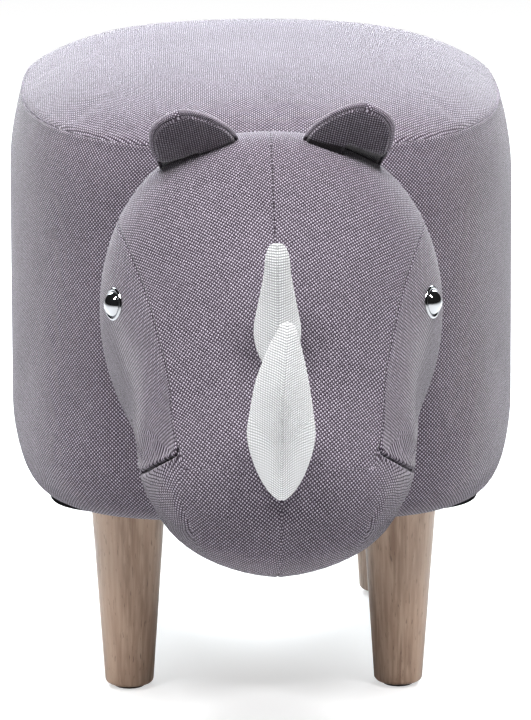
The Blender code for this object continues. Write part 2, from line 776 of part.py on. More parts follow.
def head_turns(station):
    """The turns of all the head's columns at a station, from crown round to crown."""
    ring_width = max(smooth_row(HEAD_RING_SHARES, station)[6] * HEAD_HALF_WIDTH, 2 * SEAM_GROOVE)
    power = smooth_row([(value,) for value in HEAD_RING_POWERS], station)[0]
    groove = SEAM_GROOVE / 2 / ring_width
    middle_groove = math.asin(groove ** (power / 2))
    face_seam = math.pi * smooth_row([(value,) for value in FACE_SEAM_SHARES], station)[0]
    jaw_seam = math.pi * smooth_row([(value,) for value in JAW_SEAM_SHARES], station)[0]
    half = []
    for first, last, count in (
        (middle_groove, face_seam - groove, FACE_COLUMNS),
        (face_seam + groove, jaw_seam - groove, CHEEK_COLUMNS),
        (jaw_seam + groove, math.pi - middle_groove, JAW_COLUMNS),
    ):
        half += [first + (last - first) * step / count for step in range(count + 1)]
    return half + [2 * math.pi - turn for turn in reversed(half)]


def head_stations():
    """Stations of the head's rows, with a narrow groove where the jaw ends."""
    groove = SEAM_GROOVE / HEAD_REACH / 2
    stations = []
    for share in HEAD_STATION_SHARES:
        if share == JAW_ROW_SHARE:
            stations += [share - groove, share + groove]
        else:
            stations.append(share)
    return stations


def head_solid(depth):
    """The closed head, set in by a depth square to every face."""
    stations = head_stations()
    turns = [head_turns(station) for station in stations]

    def point_at(column, row):
        return head_point(stations[row], turns[row][column % HEAD_COLUMNS])
    solid = closed_solid(HEAD_COLUMNS, len(stations) - 1, point_at)
    bmesh.ops.triangulate(solid, faces=solid.faces, quad_method="FIXED")
    inward = solid.verts.layers.float_vector.new("inward")
    for vertex in solid.verts:
        vertex[inward] = -vertex.normal * vertex.calc_shell_factor()
    for vertex in solid.verts:
        vertex.co += vertex[inward] * depth
    return solid


def head_panel(keep):
    """The cloth over the kept cells of the head, as thick as the cover."""
    panel = head_solid(0)
    cell = panel.faces.layers.int["cell"]
    inward = panel.verts.layers.float_vector["inward"]
    dropped = []
    for face in panel.faces:
        row, column = divmod(face[cell] - 1, HEAD_COLUMNS)
        if face[cell] == 0 or not keep(column, row):
            dropped.append(face)
    bmesh.ops.delete(panel, geom=dropped, context="FACES")
    backed = bmesh.ops.extrude_face_region(panel, geom=panel.faces[:], use_keep_orig=True)
    for part in backed["geom"]:
        if isinstance(part, bmesh.types.BMVert):
            part.co += part[inward] * COVER_THICKNESS
    bmesh.ops.recalc_face_normals(panel, faces=panel.faces)
    return panel


def make_head_panels(parent, materials, body_cutter, eye_holes):
    """Five sewn cloth panels: two for the face, two cheeks and the jaw."""
    jaw_row = HEAD_STATION_SHARES.index(JAW_ROW_SHARE)
    last_row = len(head_stations()) - 2
    columns = HEAD_COLUMNS

    def on_left(column):
        return column < columns / 2

    def face_cells(left):
        def keep(column, row):
            if row == last_row or on_left(column) != left:
                return False
            mirrored = column if left else columns - 2 - column
            return 0 <= mirrored < (JAW_END if row > jaw_row else FACE_END)
        return keep

    def cheek_cells(left):
        def keep(column, row):
            mirrored = column if left else columns - 2 - column
            return on_left(column) == left and row < jaw_row and CHEEK_START <= mirrored < CHEEK_END
        return keep

    def jaw_cells(column, row):
        return row < jaw_row and JAW_START <= column < columns - 1 - JAW_START

    panels = (
        ("face_left", face_cells(True)),
        ("face_right", face_cells(False)),
        ("cheek_left", cheek_cells(True)),
        ("cheek_right", cheek_cells(False)),
        ("jaw", jaw_cells),
    )
    for name, keep in panels:
        name = "head_" + name
        panel = place(name, to_mesh(name, head_panel(keep)), materials["woven_cover"], parent)
        cut(panel, body_cutter)
        if "cheek" in name:
            cut(panel, eye_holes)


def make_stuffing(parent, materials, body_cutter, eye_pockets):
    """The fibre filling, which fills the sewn skin."""
    mesh = to_mesh("head_stuffing", head_solid(COVER_DEPTH))
    filling = place("head_stuffing", mesh, materials["fibre_fill"], parent)
    cut(filling, body_cutter)
    cut(filling, eye_pockets)


# Eyes

def eye_profile():
    """Stem, flat back, short rim and dome, from the stem's end to the dome's top."""
    profile = [
        (0, -EYE_STEM_LENGTH),
        (EYE_STEM_RADIUS, -EYE_STEM_LENGTH),
        (EYE_STEM_RADIUS, TOUCH_GAP),
        (EYE_RADIUS, TOUCH_GAP),
    ]
    for step in range(EYE_DOME_STEPS + 1):
        turn = math.pi / 2 * step / EYE_DOME_STEPS
        height = EYE_RIM_HEIGHT + (EYE_DOME_HEIGHT - EYE_RIM_HEIGHT) * math.sin(turn)
        radius = EYE_RADIUS * math.cos(turn) if step < EYE_DOME_STEPS else 0
        profile.append((radius, height))
    return profile


def washer_profile():
    inner = EYE_STEM_RADIUS + BORE_CLEARANCE
    low = -EYE_WASHER_DROP - EYE_WASHER_THICKNESS
    return [
        (inner, low), (EYE_WASHER_RADIUS, low),
        (EYE_WASHER_RADIUS, -EYE_WASHER_DROP), (inner, -EYE_WASHER_DROP),
        (inner, low),
    ]


def eye_places():
    """Placing matrices on the head's skin, each with its Z axis out of the skin."""
    solid = head_solid(0)
    skin = BVHTree.FromBMesh(solid)
    solid.free()
    frames = []
    for turn in (EYE_TURN, -EYE_TURN):
        spot, out = skin.find_nearest(head_point(EYE_STATION_SHARE, turn))[:2]
        across = Vector((0, 1, 0)).cross(out).normalized()
        frame = Matrix((across, out.cross(across), out)).transposed().to_4x4()
        frame.translation = spot
        frames.append(frame)
    return frames


def make_eye_cutters(parent):
    """Holes in the cheeks for the stems, and pockets in the filling for the washers."""
    stem = EYE_STEM_RADIUS + BORE_CLEARANCE
    washer = EYE_WASHER_RADIUS + BORE_CLEARANCE
    foot = -EYE_STEM_LENGTH - BORE_CLEARANCE
    ledge = -EYE_WASHER_DROP - EYE_WASHER_THICKNESS - BORE_CLEARANCE
    hole = [(0, foot), (stem, foot), (stem, CUT_OVERRUN), (0, CUT_OVERRUN)]
    pocket = [(0, foot), (stem, foot), (stem, ledge), (washer, ledge), (washer, CUT_OVERRUN), (0, CUT_OVERRUN)]
    cutters = []
    for name, profile in (("eye_holes", hole), ("eye_pockets", pocket)):
        shape = copies_of(turned_solid(profile, EYE_COLUMNS), eye_places())
        cutters.append(place_cutter(name, shape, parent))
    return cutters


def make_eyes(parent, materials):
    for prefix, profile, material in (
        ("eye_", eye_profile(), "chrome"),
        ("eye_washer_", washer_profile(), "nylon"),
    ):
        mesh = to_mesh(prefix + "shape", turned_solid(profile, EYE_COLUMNS))
        for side, frame in zip(("left", "right"), eye_places()):
            location = frame.to_translation()
            place(prefix + side, mesh, materials[material], parent, location, frame.to_quaternion())


# Ears, horns and tail

def ear_solid(side):
    """A padded flap, round above, whose root reaches into the head to be cut off."""
    def point_at(column, row):
        angle = 2 * math.pi * (column % EAR_COLUMNS) / EAR_COLUMNS
        edge_power = EAR_OUTER_POWER if math.cos(angle) > 0 else EAR_INNER_POWER
        across, up = rounded_unit(angle, edge_power if math.sin(angle) > 0 else EAR_ROOT_POWER)
        through, spread = rounded_unit(math.pi * row / EAR_ROWS, EAR_POWER)
        if row in (0, EAR_ROWS):
            spread = 0
        slope = 1 + EAR_SLOPE_SHARE * across
        height = (EAR_HEIGHT * slope if up > 0 else EAR_ROOT_DEPTH) * up * spread
        return Vector((
            side * EAR_HALF_WIDTH * across * spread,
            -EAR_HALF_THICKNESS * through,
            height,
        ))
    return closed_solid(EAR_COLUMNS, EAR_ROWS, point_at)


def make_ears(parent, materials, head_cutter):
    for name, side, lean in (("ear_left", 1, EAR_LEAN_LEFT), ("ear_right", -1, EAR_LEAN_RIGHT)):
        root = head_point(EAR_STATION_SHARE, side * EAR_TURN)
        tilt = Matrix.Rotation(side * EAR_TILT, 4, "Y")
        turn = (tilt @ Matrix.Rotation(lean, 4, "X")).to_quaternion()
        ear = place(name, to_mesh(name, ear_solid(side)), materials["woven_cover"], parent, root, turn)
        cut(ear, head_cutter)


def horn_solid(station, table, length, half_width):
    """A lens-shaped horn lofted between its front and rear edges."""
    rows = (len(table) - 1) * HORN_ROWS_PER_RING
    root = head_point(station, 0)
    root.x = 0

    def point_at(column, row):
        front_out, front_up, rear_out, rear_up, width = smooth_row(table, row / rows)
        angle = 2 * math.pi * (column % HORN_COLUMNS) / HORN_COLUMNS
        along, across = rounded_unit(angle, HORN_POWER)
        out = (front_out + rear_out) / 2 + along * (front_out - rear_out) / 2
        up = (front_up + rear_up) / 2 + along * (front_up - rear_up) / 2
        across *= max(width, 0) * half_width
        return drifted(root + Vector((across, -out * length, up * length)))
    return closed_solid(HORN_COLUMNS, rows, point_at)


def make_horns(parent, materials, head_cutter):
    for name, station, table, length, half_width in (
        ("horn_front", FRONT_HORN_STATION_SHARE, FRONT_HORN_SHARES, FRONT_HORN_LENGTH, FRONT_HORN_HALF_WIDTH),
        ("horn_rear", REAR_HORN_STATION_SHARE, REAR_HORN_SHARES, REAR_HORN_LENGTH, REAR_HORN_HALF_WIDTH),
    ):
        mesh = to_mesh(name, horn_solid(station, table, length, half_width))
        horn = place(name, mesh, materials["horn_knit"], parent)
        cut(horn, head_cutter)


def make_tail(parent, materials, body_cutter):
    """A short stuffed cord of the cover cloth, sewn on above the middle of the back."""
    def point_at(column, row):
        out, drop, radius = TAIL_SHARES[row]
        before = TAIL_SHARES[max(row - 1, 0)]
        after = TAIL_SHARES[min(row + 1, len(TAIL_SHARES) - 1)]
        run = Vector((
            0,
            (after[0] - before[0]) * TAIL_STAND_OFF,
            (before[1] - after[1]) * TAIL_LENGTH,
        )).normalized()
        outward = Vector((1, 0, 0)).cross(run)
        angle = 2 * math.pi * (column % TAIL_COLUMNS) / TAIL_COLUMNS
        middle = Vector((0, BODY_LENGTH / 2 + out * TAIL_STAND_OFF, TAIL_HEIGHT - drop * TAIL_LENGTH))
        ring = Vector((1, 0, 0)) * math.cos(angle) + outward * math.sin(angle)
        return middle + ring * radius * TAIL_RADIUS
    solid = closed_solid(TAIL_COLUMNS, len(TAIL_SHARES) - 1, point_at)
    tail = place("tail", to_mesh("tail", solid), materials["woven_cover"], parent)
    cut(tail, body_cutter)


# The whole stool

def centre_over_origin(parent):
    """Slide the stool along Y until its overall length is centred on the origin."""
    bpy.context.view_layer.update()
    pieces = bpy.context.evaluated_depsgraph_get()
    spots = []
    for piece in parent.children:
        if piece.display_type == "WIRE":
            continue
        finished = piece.evaluated_get(pieces)
        spots += [(finished.matrix_world @ vertex.co).y for vertex in finished.data.vertices]
    parent.location.y = -(min(spots) + max(spots)) / 2


def build_stool():
    for leftover in list(bpy.data.objects):
        bpy.data.objects.remove(leftover, do_unlink=True)
    stool = bpy.data.objects.new("stool", None)
    bpy.context.scene.collection.objects.link(stool)
    materials = make_materials()

    boards = make_boards(stool, materials)
    make_wall_board(stool, materials)
    posts = make_posts(stool, materials)
    make_screws(stool, materials, boards, posts)
    make_side_foam(stool, materials)
    make_seat_foam(stool, materials)
    leg_holes = make_leg_holes(stool)
    make_covers(stool, materials, leg_holes)
    make_dust_cover(stool, materials, leg_holes)
    make_legs(stool, materials, boards["base_board"])

    body_cutter = place_cutter("body_cutter", body_envelope(-TOUCH_GAP), stool)
    head_cutter = place_cutter("head_cutter", head_solid(-TOUCH_GAP), stool)
    eye_holes, eye_pockets = make_eye_cutters(stool)
    make_stuffing(stool, materials, body_cutter, eye_pockets)
    make_head_panels(stool, materials, body_cutter, eye_holes)
    make_eyes(stool, materials)
    make_ears(stool, materials, head_cutter)
    make_horns(stool, materials, head_cutter)
    make_tail(stool, materials, body_cutter)
    centre_over_origin(stool)


build_stool()
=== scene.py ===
"""How the rhinoceros footstool looks: its cloth, knit, wood and metal, and the studio round it."""

import math
from bisect import bisect_right

import bmesh
import bpy
from mathutils import Matrix, Vector
from mathutils.kdtree import KDTree


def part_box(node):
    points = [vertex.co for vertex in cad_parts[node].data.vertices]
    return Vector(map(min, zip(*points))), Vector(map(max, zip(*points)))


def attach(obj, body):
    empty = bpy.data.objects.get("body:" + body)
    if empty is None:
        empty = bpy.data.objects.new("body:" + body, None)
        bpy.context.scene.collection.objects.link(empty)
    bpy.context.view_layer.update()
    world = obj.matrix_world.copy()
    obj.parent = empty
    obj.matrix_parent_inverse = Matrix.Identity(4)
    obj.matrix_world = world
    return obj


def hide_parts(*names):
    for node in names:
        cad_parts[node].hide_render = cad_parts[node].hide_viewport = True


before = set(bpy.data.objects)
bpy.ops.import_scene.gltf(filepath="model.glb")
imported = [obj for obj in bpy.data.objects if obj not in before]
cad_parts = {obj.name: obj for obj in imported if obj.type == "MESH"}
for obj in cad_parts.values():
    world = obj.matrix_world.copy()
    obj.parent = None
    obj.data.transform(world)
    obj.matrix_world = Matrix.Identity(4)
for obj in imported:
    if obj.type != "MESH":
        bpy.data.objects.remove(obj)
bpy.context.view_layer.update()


# Seat side: one band of woven cloth sewn round the seat, pulled tight over foam pads and
# turned under the base board. It is sewn to the top panel in a narrow seam at its upper edge.

BODY_WIDTH = 0.330
BODY_LENGTH = 0.400
BODY_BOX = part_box("side_cover")
BODY_MIDDLE = (BODY_BOX[0].y + BODY_BOX[1].y) / 2
SEAM_HEIGHT = 0.384
SEAM_DIP = 0.0045
DIP_START = 0.3452
UNDERSIDE_HEIGHT = 0.133
RIM_INSET = 0.0235
LOW_ROUND_HEIGHT = 0.0595
LOW_ROUND_POWER = 2.7
SEAM_INSET = 0.0077
HIGH_ROUND_HEIGHT = 0.0534
HIGH_ROUND_TURN = math.radians(67.5)
LOW_PLAN_POWER = 3.6
HIGH_PLAN_POWER = 2.7
HEM_WIDTH = 0.025
CLOTH_THICKNESS = 0.0012
FOAM_INNER_INSET = 0.0277
TOUCH_GAP = 0.0003
SMALLER_BY = 0.0008
SEAM_STEPS = (0, 0.0004, 0.0008, 0.0013, 0.0020, 0.0028, 0.0040)
ROW_STEP = 0.0040
SIDE_COLUMNS = 320
CLOTH_CELL = 0.0065
CLOTH_PRESSURE = 4.0
CLOTH_FRAMES = 20
SIDE_SWELL_LIMIT = 0.0016
PROFILE_STEPS = 60
BACKING = 0.0030
HEAD_FOOT_HALF_WIDTH = 0.095
HEAD_FOOT_LOW = 0.165
SEAM_ROLL = 0.3
SEAM_WIDTH = 0.0009
TOP_SEAM_DEPTH = 0.0010
TOP_SEAM_ROLL = 0.45
BACK_SEAM_DEPTH = 0.0006
MERGE_DISTANCE = 0.00002
SOFT_EDGE = math.radians(50)

WEAVE_PITCH = 0.00127
WEAVE_RELIEF = 0.00035
WEAVE_GAP = (0.10, 0.55)
WANDER = 0.0011
WANDER_SCALE = 70
YARN_ROUNDNESS = 0.6
YARN_SHADES = (0.34, 0.80)
CLOUD_SCALE = 14
CLOUD_TONES = (0.25, 0.75, 0.93, 1.07)
STITCH_LENGTH = 0.0018
STITCH_REACH = 0.0060
STITCH_SHOWS = (-0.3, 0.6)
DARK_MARK_SPREAD = (0.88, 0.97)
CLOTH_COLOURS = {
    "light_yarn": (0.425, 0.379, 0.449),
    "dark_yarn": (0.073, 0.056, 0.077),
    "gap": (0.018, 0.013, 0.018),
}


def clamped(value, low=0.0, high=1.0):
    return min(max(value, low), high)


def outline(turn, power, half_width, half_length):
    """A point of the rounded plan, as seen from above; turn 0 is the middle of the back."""
    across, along = math.sin(turn), math.cos(turn)
    reach = (abs(across) ** power + abs(along) ** power) ** (1 / power)
    return half_width * across / reach, half_length * along / reach


def plan_power(height):
    rise = clamped((height - UNDERSIDE_HEIGHT) / (SEAM_HEIGHT - UNDERSIDE_HEIGHT))
    return LOW_PLAN_POWER + (HIGH_PLAN_POWER - LOW_PLAN_POWER) * rise


def body_point(turn, inset, height):
    """A point of the seat body, inset from its widest outline."""
    half_length = BODY_LENGTH / 2 - inset
    x, y = outline(turn, plan_power(height), BODY_WIDTH / 2 - inset, half_length)
    dip = SEAM_DIP * (y / half_length) ** 2
    dip *= clamped((height - DIP_START) / (SEAM_HEIGHT - DIP_START))
    return Vector((x, y + BODY_MIDDLE, height - dip))


def high_round(turn):
    """Inset and height where the wall has turned inwards by an angle, below the top seam."""
    inset = SEAM_INSET * (1 - math.cos(turn)) / (1 - math.cos(HIGH_ROUND_TURN))
    drop = HIGH_ROUND_HEIGHT * (1 - math.sin(turn) / math.sin(HIGH_ROUND_TURN))
    return Vector((inset, SEAM_HEIGHT - drop))


def low_round(turn):
    """Inset and height of the round below the wall; turn 0 is its lowest point."""
    inset = RIM_INSET * (1 - math.sin(turn) ** (2 / LOW_ROUND_POWER))
    rise = LOW_ROUND_HEIGHT * (1 - max(math.cos(turn), 0) ** (2 / LOW_ROUND_POWER))
    return Vector((inset, UNDERSIDE_HEIGHT + rise))


class Path:
    """A line through points, read by the length along it."""

    def __init__(self, points):
        self.points = points
        self.marks = [0.0]
        for before, after in zip(points, points[1:]):
            self.marks.append(self.marks[-1] + (after - before).length)
        self.length = self.marks[-1]

    def step(self, length):
        """The step that a length falls in, and how much of that step it covers."""
        index = min(max(bisect_right(self.marks, length) - 1, 0), len(self.points) - 2)
        span = self.marks[index + 1] - self.marks[index]
        return index, clamped((length - self.marks[index]) / span) if span else 0

    def at(self, length):
        index, share = self.step(length)
        return self.points[index].lerp(self.points[index + 1], share)


def even_shares(count):
    return [step / count for step in range(count + 1)]


def turn_of(column, columns):
    """The angle of a column on a grid that closes on itself."""
    return 2 * math.pi * (column % columns) / columns


def bent_grid(columns, rows, point_at, thread_at):
    """A grid bent to point_at(column, row) and merged where it closes on itself.

    Its vertices keep their column and row, and its faces keep where they lie on
    the cloth, in metres along the weft and the warp, as the UV map "threads".
    """
    grid = bmesh.new()
    bmesh.ops.create_grid(grid, x_segments=columns, y_segments=rows, size=1)
    column_of = grid.verts.layers.int.new("column")
    row_of = grid.verts.layers.int.new("row")
    threads = grid.loops.layers.uv.new("threads")
    for vertex in grid.verts:
        vertex[column_of] = round((vertex.co.x + 1) / 2 * columns)
        vertex[row_of] = round((vertex.co.y + 1) / 2 * rows)
    for face in grid.faces:
        middle = face.calc_center_median()
        cell = (int((middle.x + 1) / 2 * columns), int((middle.y + 1) / 2 * rows))
        for loop in face.loops:
            place = (loop.vert[column_of], loop.vert[row_of])
            loop[threads].uv = thread_at(*place, cell)
    for vertex in grid.verts:
        vertex.co = point_at(vertex[column_of], vertex[row_of])
    bmesh.ops.remove_doubles(grid, verts=grid.verts, dist=MERGE_DISTANCE)
    bmesh.ops.recalc_face_normals(grid, faces=grid.faces)
    return grid


def place_reader(grid):
    """A function that gives a vertex's column and row on its grid."""
    column_of, row_of = (grid.verts.layers.int[name] for name in ("column", "row"))
    return lambda vertex: (vertex[column_of], vertex[row_of])


def shown(name, data):
    """A new object with its data, linked to the scene."""
    item = bpy.data.objects.new(name, data)
    bpy.context.scene.collection.objects.link(item)
    return item


def swelling(columns, rows, point_at, sewn_at, limit):
    """How far cloth pressed out by its filling moves between its seams.

    A coarse copy of the cover is blown out by Blender's cloth, held where
    sewn_at(column, row) is true, and the moves are read by shares of the grid.
    """
    grid = bent_grid(columns, rows, point_at, lambda column, row, cell: (0, 0))
    place_of = place_reader(grid)
    places = [place_of(vertex) for vertex in grid.verts]
    starts = [vertex.co.copy() for vertex in grid.verts]
    mesh = bpy.data.meshes.new("swelling")
    grid.to_mesh(mesh)
    grid.free()
    cover = shown("swelling", mesh)
    sewn = cover.vertex_groups.new(name="sewn")
    sewn.add([index for index, place in enumerate(places) if sewn_at(*place)], 1, "REPLACE")
    cloth = cover.modifiers.new("cloth", "CLOTH")
    cloth.settings.use_pressure = True
    cloth.settings.uniform_pressure_force = CLOTH_PRESSURE
    cloth.settings.vertex_group_mass = "sewn"
    cloth.settings.effector_weights.gravity = 0
    cloth.point_cache.frame_end = CLOTH_FRAMES
    for number in range(1, CLOTH_FRAMES + 1):
        bpy.context.scene.frame_set(number)
    blown = cover.evaluated_get(bpy.context.evaluated_depsgraph_get())
    moves = {}
    for place, start, vertex in zip(places, starts, blown.data.vertices):
        move = vertex.co - start
        moves[place] = move * min(1, limit / move.length) if move.length else move
    furthest = max(move.length for move in moves.values())
    print(f"cloth swells by up to {furthest * 1000:.2f} mm on {len(places)} points")
    bpy.data.objects.remove(cover)
    bpy.data.meshes.remove(mesh)
    bpy.context.scene.frame_set(1)

    def at_grid(column, row):
        return moves.get((column, row)) or moves.get((column % columns, row)) or Vector()

    def read(column_share, row_share):
        column, row = column_share * columns, row_share * rows
        left, low = min(int(column), columns - 1), min(int(row), rows - 1)
        near = at_grid(left, low).lerp(at_grid(left + 1, low), column - left)
        far = at_grid(left, low + 1).lerp(at_grid(left + 1, low + 1), column - left)
        return near.lerp(far, row - low)
    return read


def seam_dent(distance, depth, roll=SEAM_ROLL, width=SEAM_WIDTH):
    """How a cloth dives into a seam and rolls up beside it, along its normal."""
    dive = -depth * math.exp(-(distance / width) ** 2)
    return dive + roll * depth * math.exp(-((distance - 3 * width) / (2 * width)) ** 2)


def dented(grid, dent_at):
    """Move each vertex of a grid along its normal by dent_at(column, row)."""
    place_of = place_reader(grid)
    grid.normal_update()
    moves = [vertex.normal * dent_at(*place_of(vertex)) for vertex in grid.verts]
    for vertex, move in zip(grid.verts, moves):
        vertex.co += move
    return grid


def make_piece(name, solid, material, stands_for, sharp=SOFT_EDGE):
    """Turn a bmesh into a shown piece that rides on the stool and stands for CAD nodes."""
    mesh = bpy.data.meshes.new(name)
    solid.to_mesh(mesh)
    solid.free()
    mesh.shade_smooth()
    mesh.set_sharp_from_angle(angle=sharp)
    mesh.materials.append(material)
    piece = shown(name, mesh)
    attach(piece, "root")
    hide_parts(*stands_for)
    return piece


def new_node(tree, kind, inputs, **settings):
    """A node with its settings, fed with sockets or values; gives its outputs."""
    node = tree.nodes.new("ShaderNode" + kind)
    for name, value in settings.items():
        setattr(node, name, value)
    for label, value in inputs.items():
        socket = node.inputs[label]
        if isinstance(value, bpy.types.NodeSocket):
            tree.links.new(value, socket)
        elif socket.type == "RGBA":
            socket.default_value = (*value, 1)
        else:
            socket.default_value = value
    return node.outputs


def math_node(tree, operation, *values):
    return new_node(tree, "Math", dict(enumerate(values)), operation=operation)[0]


def vector_node(tree, operation, *values):
    return new_node(tree, "VectorMath", dict(enumerate(values)), operation=operation)[0]


def mix_node(tree, kind, share, first, second, blend="MIX"):
    """A mix of numbers or colours, each of which has its own places on the Mix node."""
    place, output = {"FLOAT": (2, 0), "RGBA": (6, 2)}[kind]
    inputs = {0: share, place: first, place + 1: second}
    return new_node(tree, "Mix", inputs, data_type=kind, blend_type=blend)[output]


def object_spots(tree):
    return new_node(tree, "TexCoord", {})["Object"]


def uv_node(tree, name):
    return new_node(tree, "UVMap", {}, uv_map=name)[0]


def noise_node(tree, vector, scale, detail=2.0, output="Fac"):
    return new_node(tree, "TexNoise", {"Vector": vector, "Scale": scale, "Detail": detail})[output]


def spread_node(tree, value, low, high, to_low=0.0, to_high=1.0):
    """A smooth step of a value between two limits."""
    inputs = {
        "Value": value, "From Min": low, "From Max": high, "To Min": to_low, "To Max": to_high
    }
    return new_node(tree, "MapRange", inputs, interpolation_type="SMOOTHSTEP")[0]


def bump_node(tree, height, distance, strength=1.0):
    inputs = {"Height": height, "Distance": distance, "Strength": strength}
    return new_node(tree, "Bump", inputs)[0]


def new_group(name, inputs, outputs):
    """An empty node group; gives its tree, what it is given and where its results go."""
    tree = bpy.data.node_groups.new(name, "ShaderNodeTree")
    for side, sockets in (("INPUT", inputs), ("OUTPUT", outputs)):
        for label, kind in sockets.items():
            tree.interface.new_socket(label, in_out=side, socket_type="NodeSocket" + kind)
    return tree, tree.nodes.new("NodeGroupInput").outputs, tree.nodes.new("NodeGroupOutput").inputs


def make_weave_group():
    """A plain weave: how high the yarn lies, which yarn is on top, and its own shade."""
    tree, given, result = new_group(
        "plain_weave", {"Threads": "Vector", "Pitch": "Float"},
        {"Height": "Float", "Warp": "Float", "Shade": "Float"},
    )
    wander = noise_node(tree, given["Threads"], WANDER_SCALE, output="Color")
    wandering = vector_node(tree, "MULTIPLY_ADD", wander, (WANDER, WANDER, 0), given["Threads"])
    pitch = new_node(tree, "CombineXYZ", dict.fromkeys("XYZ", given["Pitch"]))[0]
    parts = new_node(tree, "SeparateXYZ", {0: vector_node(tree, "DIVIDE", wandering, pitch)})
    cells, within = [], []
    for axis in ("X", "Y"):
        cells.append(math_node(tree, "FLOOR", parts[axis]))
        within.append(math_node(tree, "SUBTRACT", math_node(tree, "FRACT", parts[axis]), 0.5))
    warp = math_node(tree, "FLOORED_MODULO", math_node(tree, "ADD", *cells), 2)
    across = mix_node(tree, "FLOAT", warp, within[1], within[0])
    along = mix_node(tree, "FLOAT", warp, within[0], within[1])
    round_across = math_node(tree, "COSINE", math_node(tree, "MULTIPLY", across, math.pi))
    round_along = math_node(tree, "COSINE", math_node(tree, "MULTIPLY", along, math.pi))
    round_along = math_node(tree, "POWER", round_along, YARN_ROUNDNESS)
    cell = new_node(tree, "CombineXYZ", {"X": cells[0], "Y": cells[1]})[0]
    shade = new_node(tree, "TexWhiteNoise", {"Vector": cell}, noise_dimensions="2D")["Value"]
    tree.links.new(math_node(tree, "MULTIPLY", round_across, round_along), result["Height"])
    tree.links.new(warp, result["Warp"])
    tree.links.new(shade, result["Shade"])
    return tree


def make_cloth_group():
    """The cloth's colour and height: light warp over dark weft, its stitches, lines of painted
    shade and soft clouds.
    """
    tree, given, result = new_group(
        "woven_cloth",
        {"Threads": "Vector", "Pitch": "Float", "Stitches And Shade": "Vector", "Spots": "Vector",
         "Tone": "Float"},
        {"Colour": "Color", "Height": "Float"},
    )
    threads = {"Threads": given["Threads"], "Pitch": given["Pitch"]}
    weave = new_node(tree, "Group", threads, node_tree=make_weave_group())
    yarn = mix_node(
        tree, "RGBA", weave["Warp"], CLOTH_COLOURS["dark_yarn"], CLOTH_COLOURS["light_yarn"]
    )
    laid = spread_node(tree, weave["Height"], *WEAVE_GAP)
    colour = mix_node(tree, "RGBA", laid, CLOTH_COLOURS["gap"], yarn)
    # Stitch marks along the seams, and the solid lines of painted shade under the ears and in the
    # muzzle's tuck, take the gap colour.
    sewn = new_node(tree, "SeparateXYZ", {0: given["Stitches And Shade"]})
    stitch = math_node(tree, "MULTIPLY", sewn["Y"], 2 * math.pi / STITCH_LENGTH)
    stitch = spread_node(tree, math_node(tree, "COSINE", stitch), *STITCH_SHOWS)
    dark_mark = math_node(tree, "MULTIPLY", spread_node(tree, sewn["X"], *DARK_MARK_SPREAD), stitch)
    colour = mix_node(tree, "RGBA", dark_mark, colour, CLOTH_COLOURS["gap"])
    tone = math_node(tree, "MULTIPLY_ADD", weave["Shade"], *YARN_SHADES)
    cloudy = spread_node(tree, noise_node(tree, given["Spots"], CLOUD_SCALE, 3), *CLOUD_TONES)
    tone = math_node(tree, "MULTIPLY", math_node(tree, "MULTIPLY", tone, given["Tone"]), cloudy)
    grey = new_node(tree, "CombineColor", dict.fromkeys(("Red", "Green", "Blue"), tone))[0]
    toned = mix_node(tree, "RGBA", 1.0, colour, grey, "MULTIPLY")
    tree.links.new(toned, result["Colour"])
    tree.links.new(weave["Height"], result["Height"])
    return tree


def new_material(name, roughness, metallic=0.0, **constants):
    """A Principled material; gives it, its tree and its shader's inputs."""
    material = bpy.data.materials.new(name)
    material.use_nodes = True
    shader = material.node_tree.nodes["Principled BSDF"].inputs
    shader["Roughness"].default_value = roughness
    shader["Metallic"].default_value = metallic
    for label, value in constants.items():
        shader[label.replace("_", " ")].default_value = value
    return material, material.node_tree, shader


def make_cloth(name, pitch, tone=1):
    """The grey-lilac cover cloth with its yarn spacing and tone, a little fuzzy."""
    material, tree, shader = new_material(
        name, 0.95, Sheen_Weight=0.40, Sheen_Roughness=0.32, Specular_IOR_Level=0.15
    )
    inputs = {
        "Threads": uv_node(tree, "threads"), "Stitches And Shade": uv_node(tree, "seams"),
        "Spots": object_spots(tree), "Pitch": pitch, "Tone": tone,
    }
    cloth = new_node(tree, "Group", inputs, node_tree=cloth_group)
    tree.links.new(cloth["Colour"], shader["Base Color"])
    tree.links.new(bump_node(tree, cloth["Height"], WEAVE_RELIEF), shader["Normal"])
    return material


cloth_group = make_cloth_group()
cover_cloth = make_cloth("cover_cloth", WEAVE_PITCH)

profile_shares = even_shares(PROFILE_STEPS)
profile_points = [high_round(HIGH_ROUND_TURN * (1 - share)) for share in profile_shares]
profile_points += [low_round(math.pi / 2 * (1 - share)) for share in profile_shares]
profile_points.append(Vector((RIM_INSET + HEM_WIDTH, UNDERSIDE_HEIGHT)))
side_profile = Path(profile_points)
wall_length = side_profile.length - HEM_WIDTH
outer_marks = list(SEAM_STEPS)
plain_rows = round((wall_length - SEAM_STEPS[-1]) / ROW_STEP)
outer_marks += [
    SEAM_STEPS[-1] + (wall_length - SEAM_STEPS[-1]) * share for share in even_shares(plain_rows)[1:]
]
outer_marks += [wall_length + HEM_WIDTH / 2, side_profile.length]
foam_top_inset = high_round(math.asin(
    math.sin(HIGH_ROUND_TURN) * (1 - (SEAM_HEIGHT - DIP_START) / HIGH_ROUND_HEIGHT)
)).x
inner_spots = [
    Vector((RIM_INSET + HEM_WIDTH, UNDERSIDE_HEIGHT + CLOTH_THICKNESS)),
    Vector((FOAM_INNER_INSET, UNDERSIDE_HEIGHT + CLOTH_THICKNESS)),
    Vector((FOAM_INNER_INSET, DIP_START)),
    Vector((foam_top_inset + BACKING, DIP_START)),
    Vector((SEAM_INSET + BACKING, SEAM_HEIGHT - TOUCH_GAP)),
]
middle_power = plan_power(SEAM_HEIGHT / 2)
outline_path = Path([
    Vector(outline(2 * math.pi * share, middle_power, BODY_WIDTH / 2, BODY_LENGTH / 2))
    for share in even_shares(SIDE_COLUMNS)
])


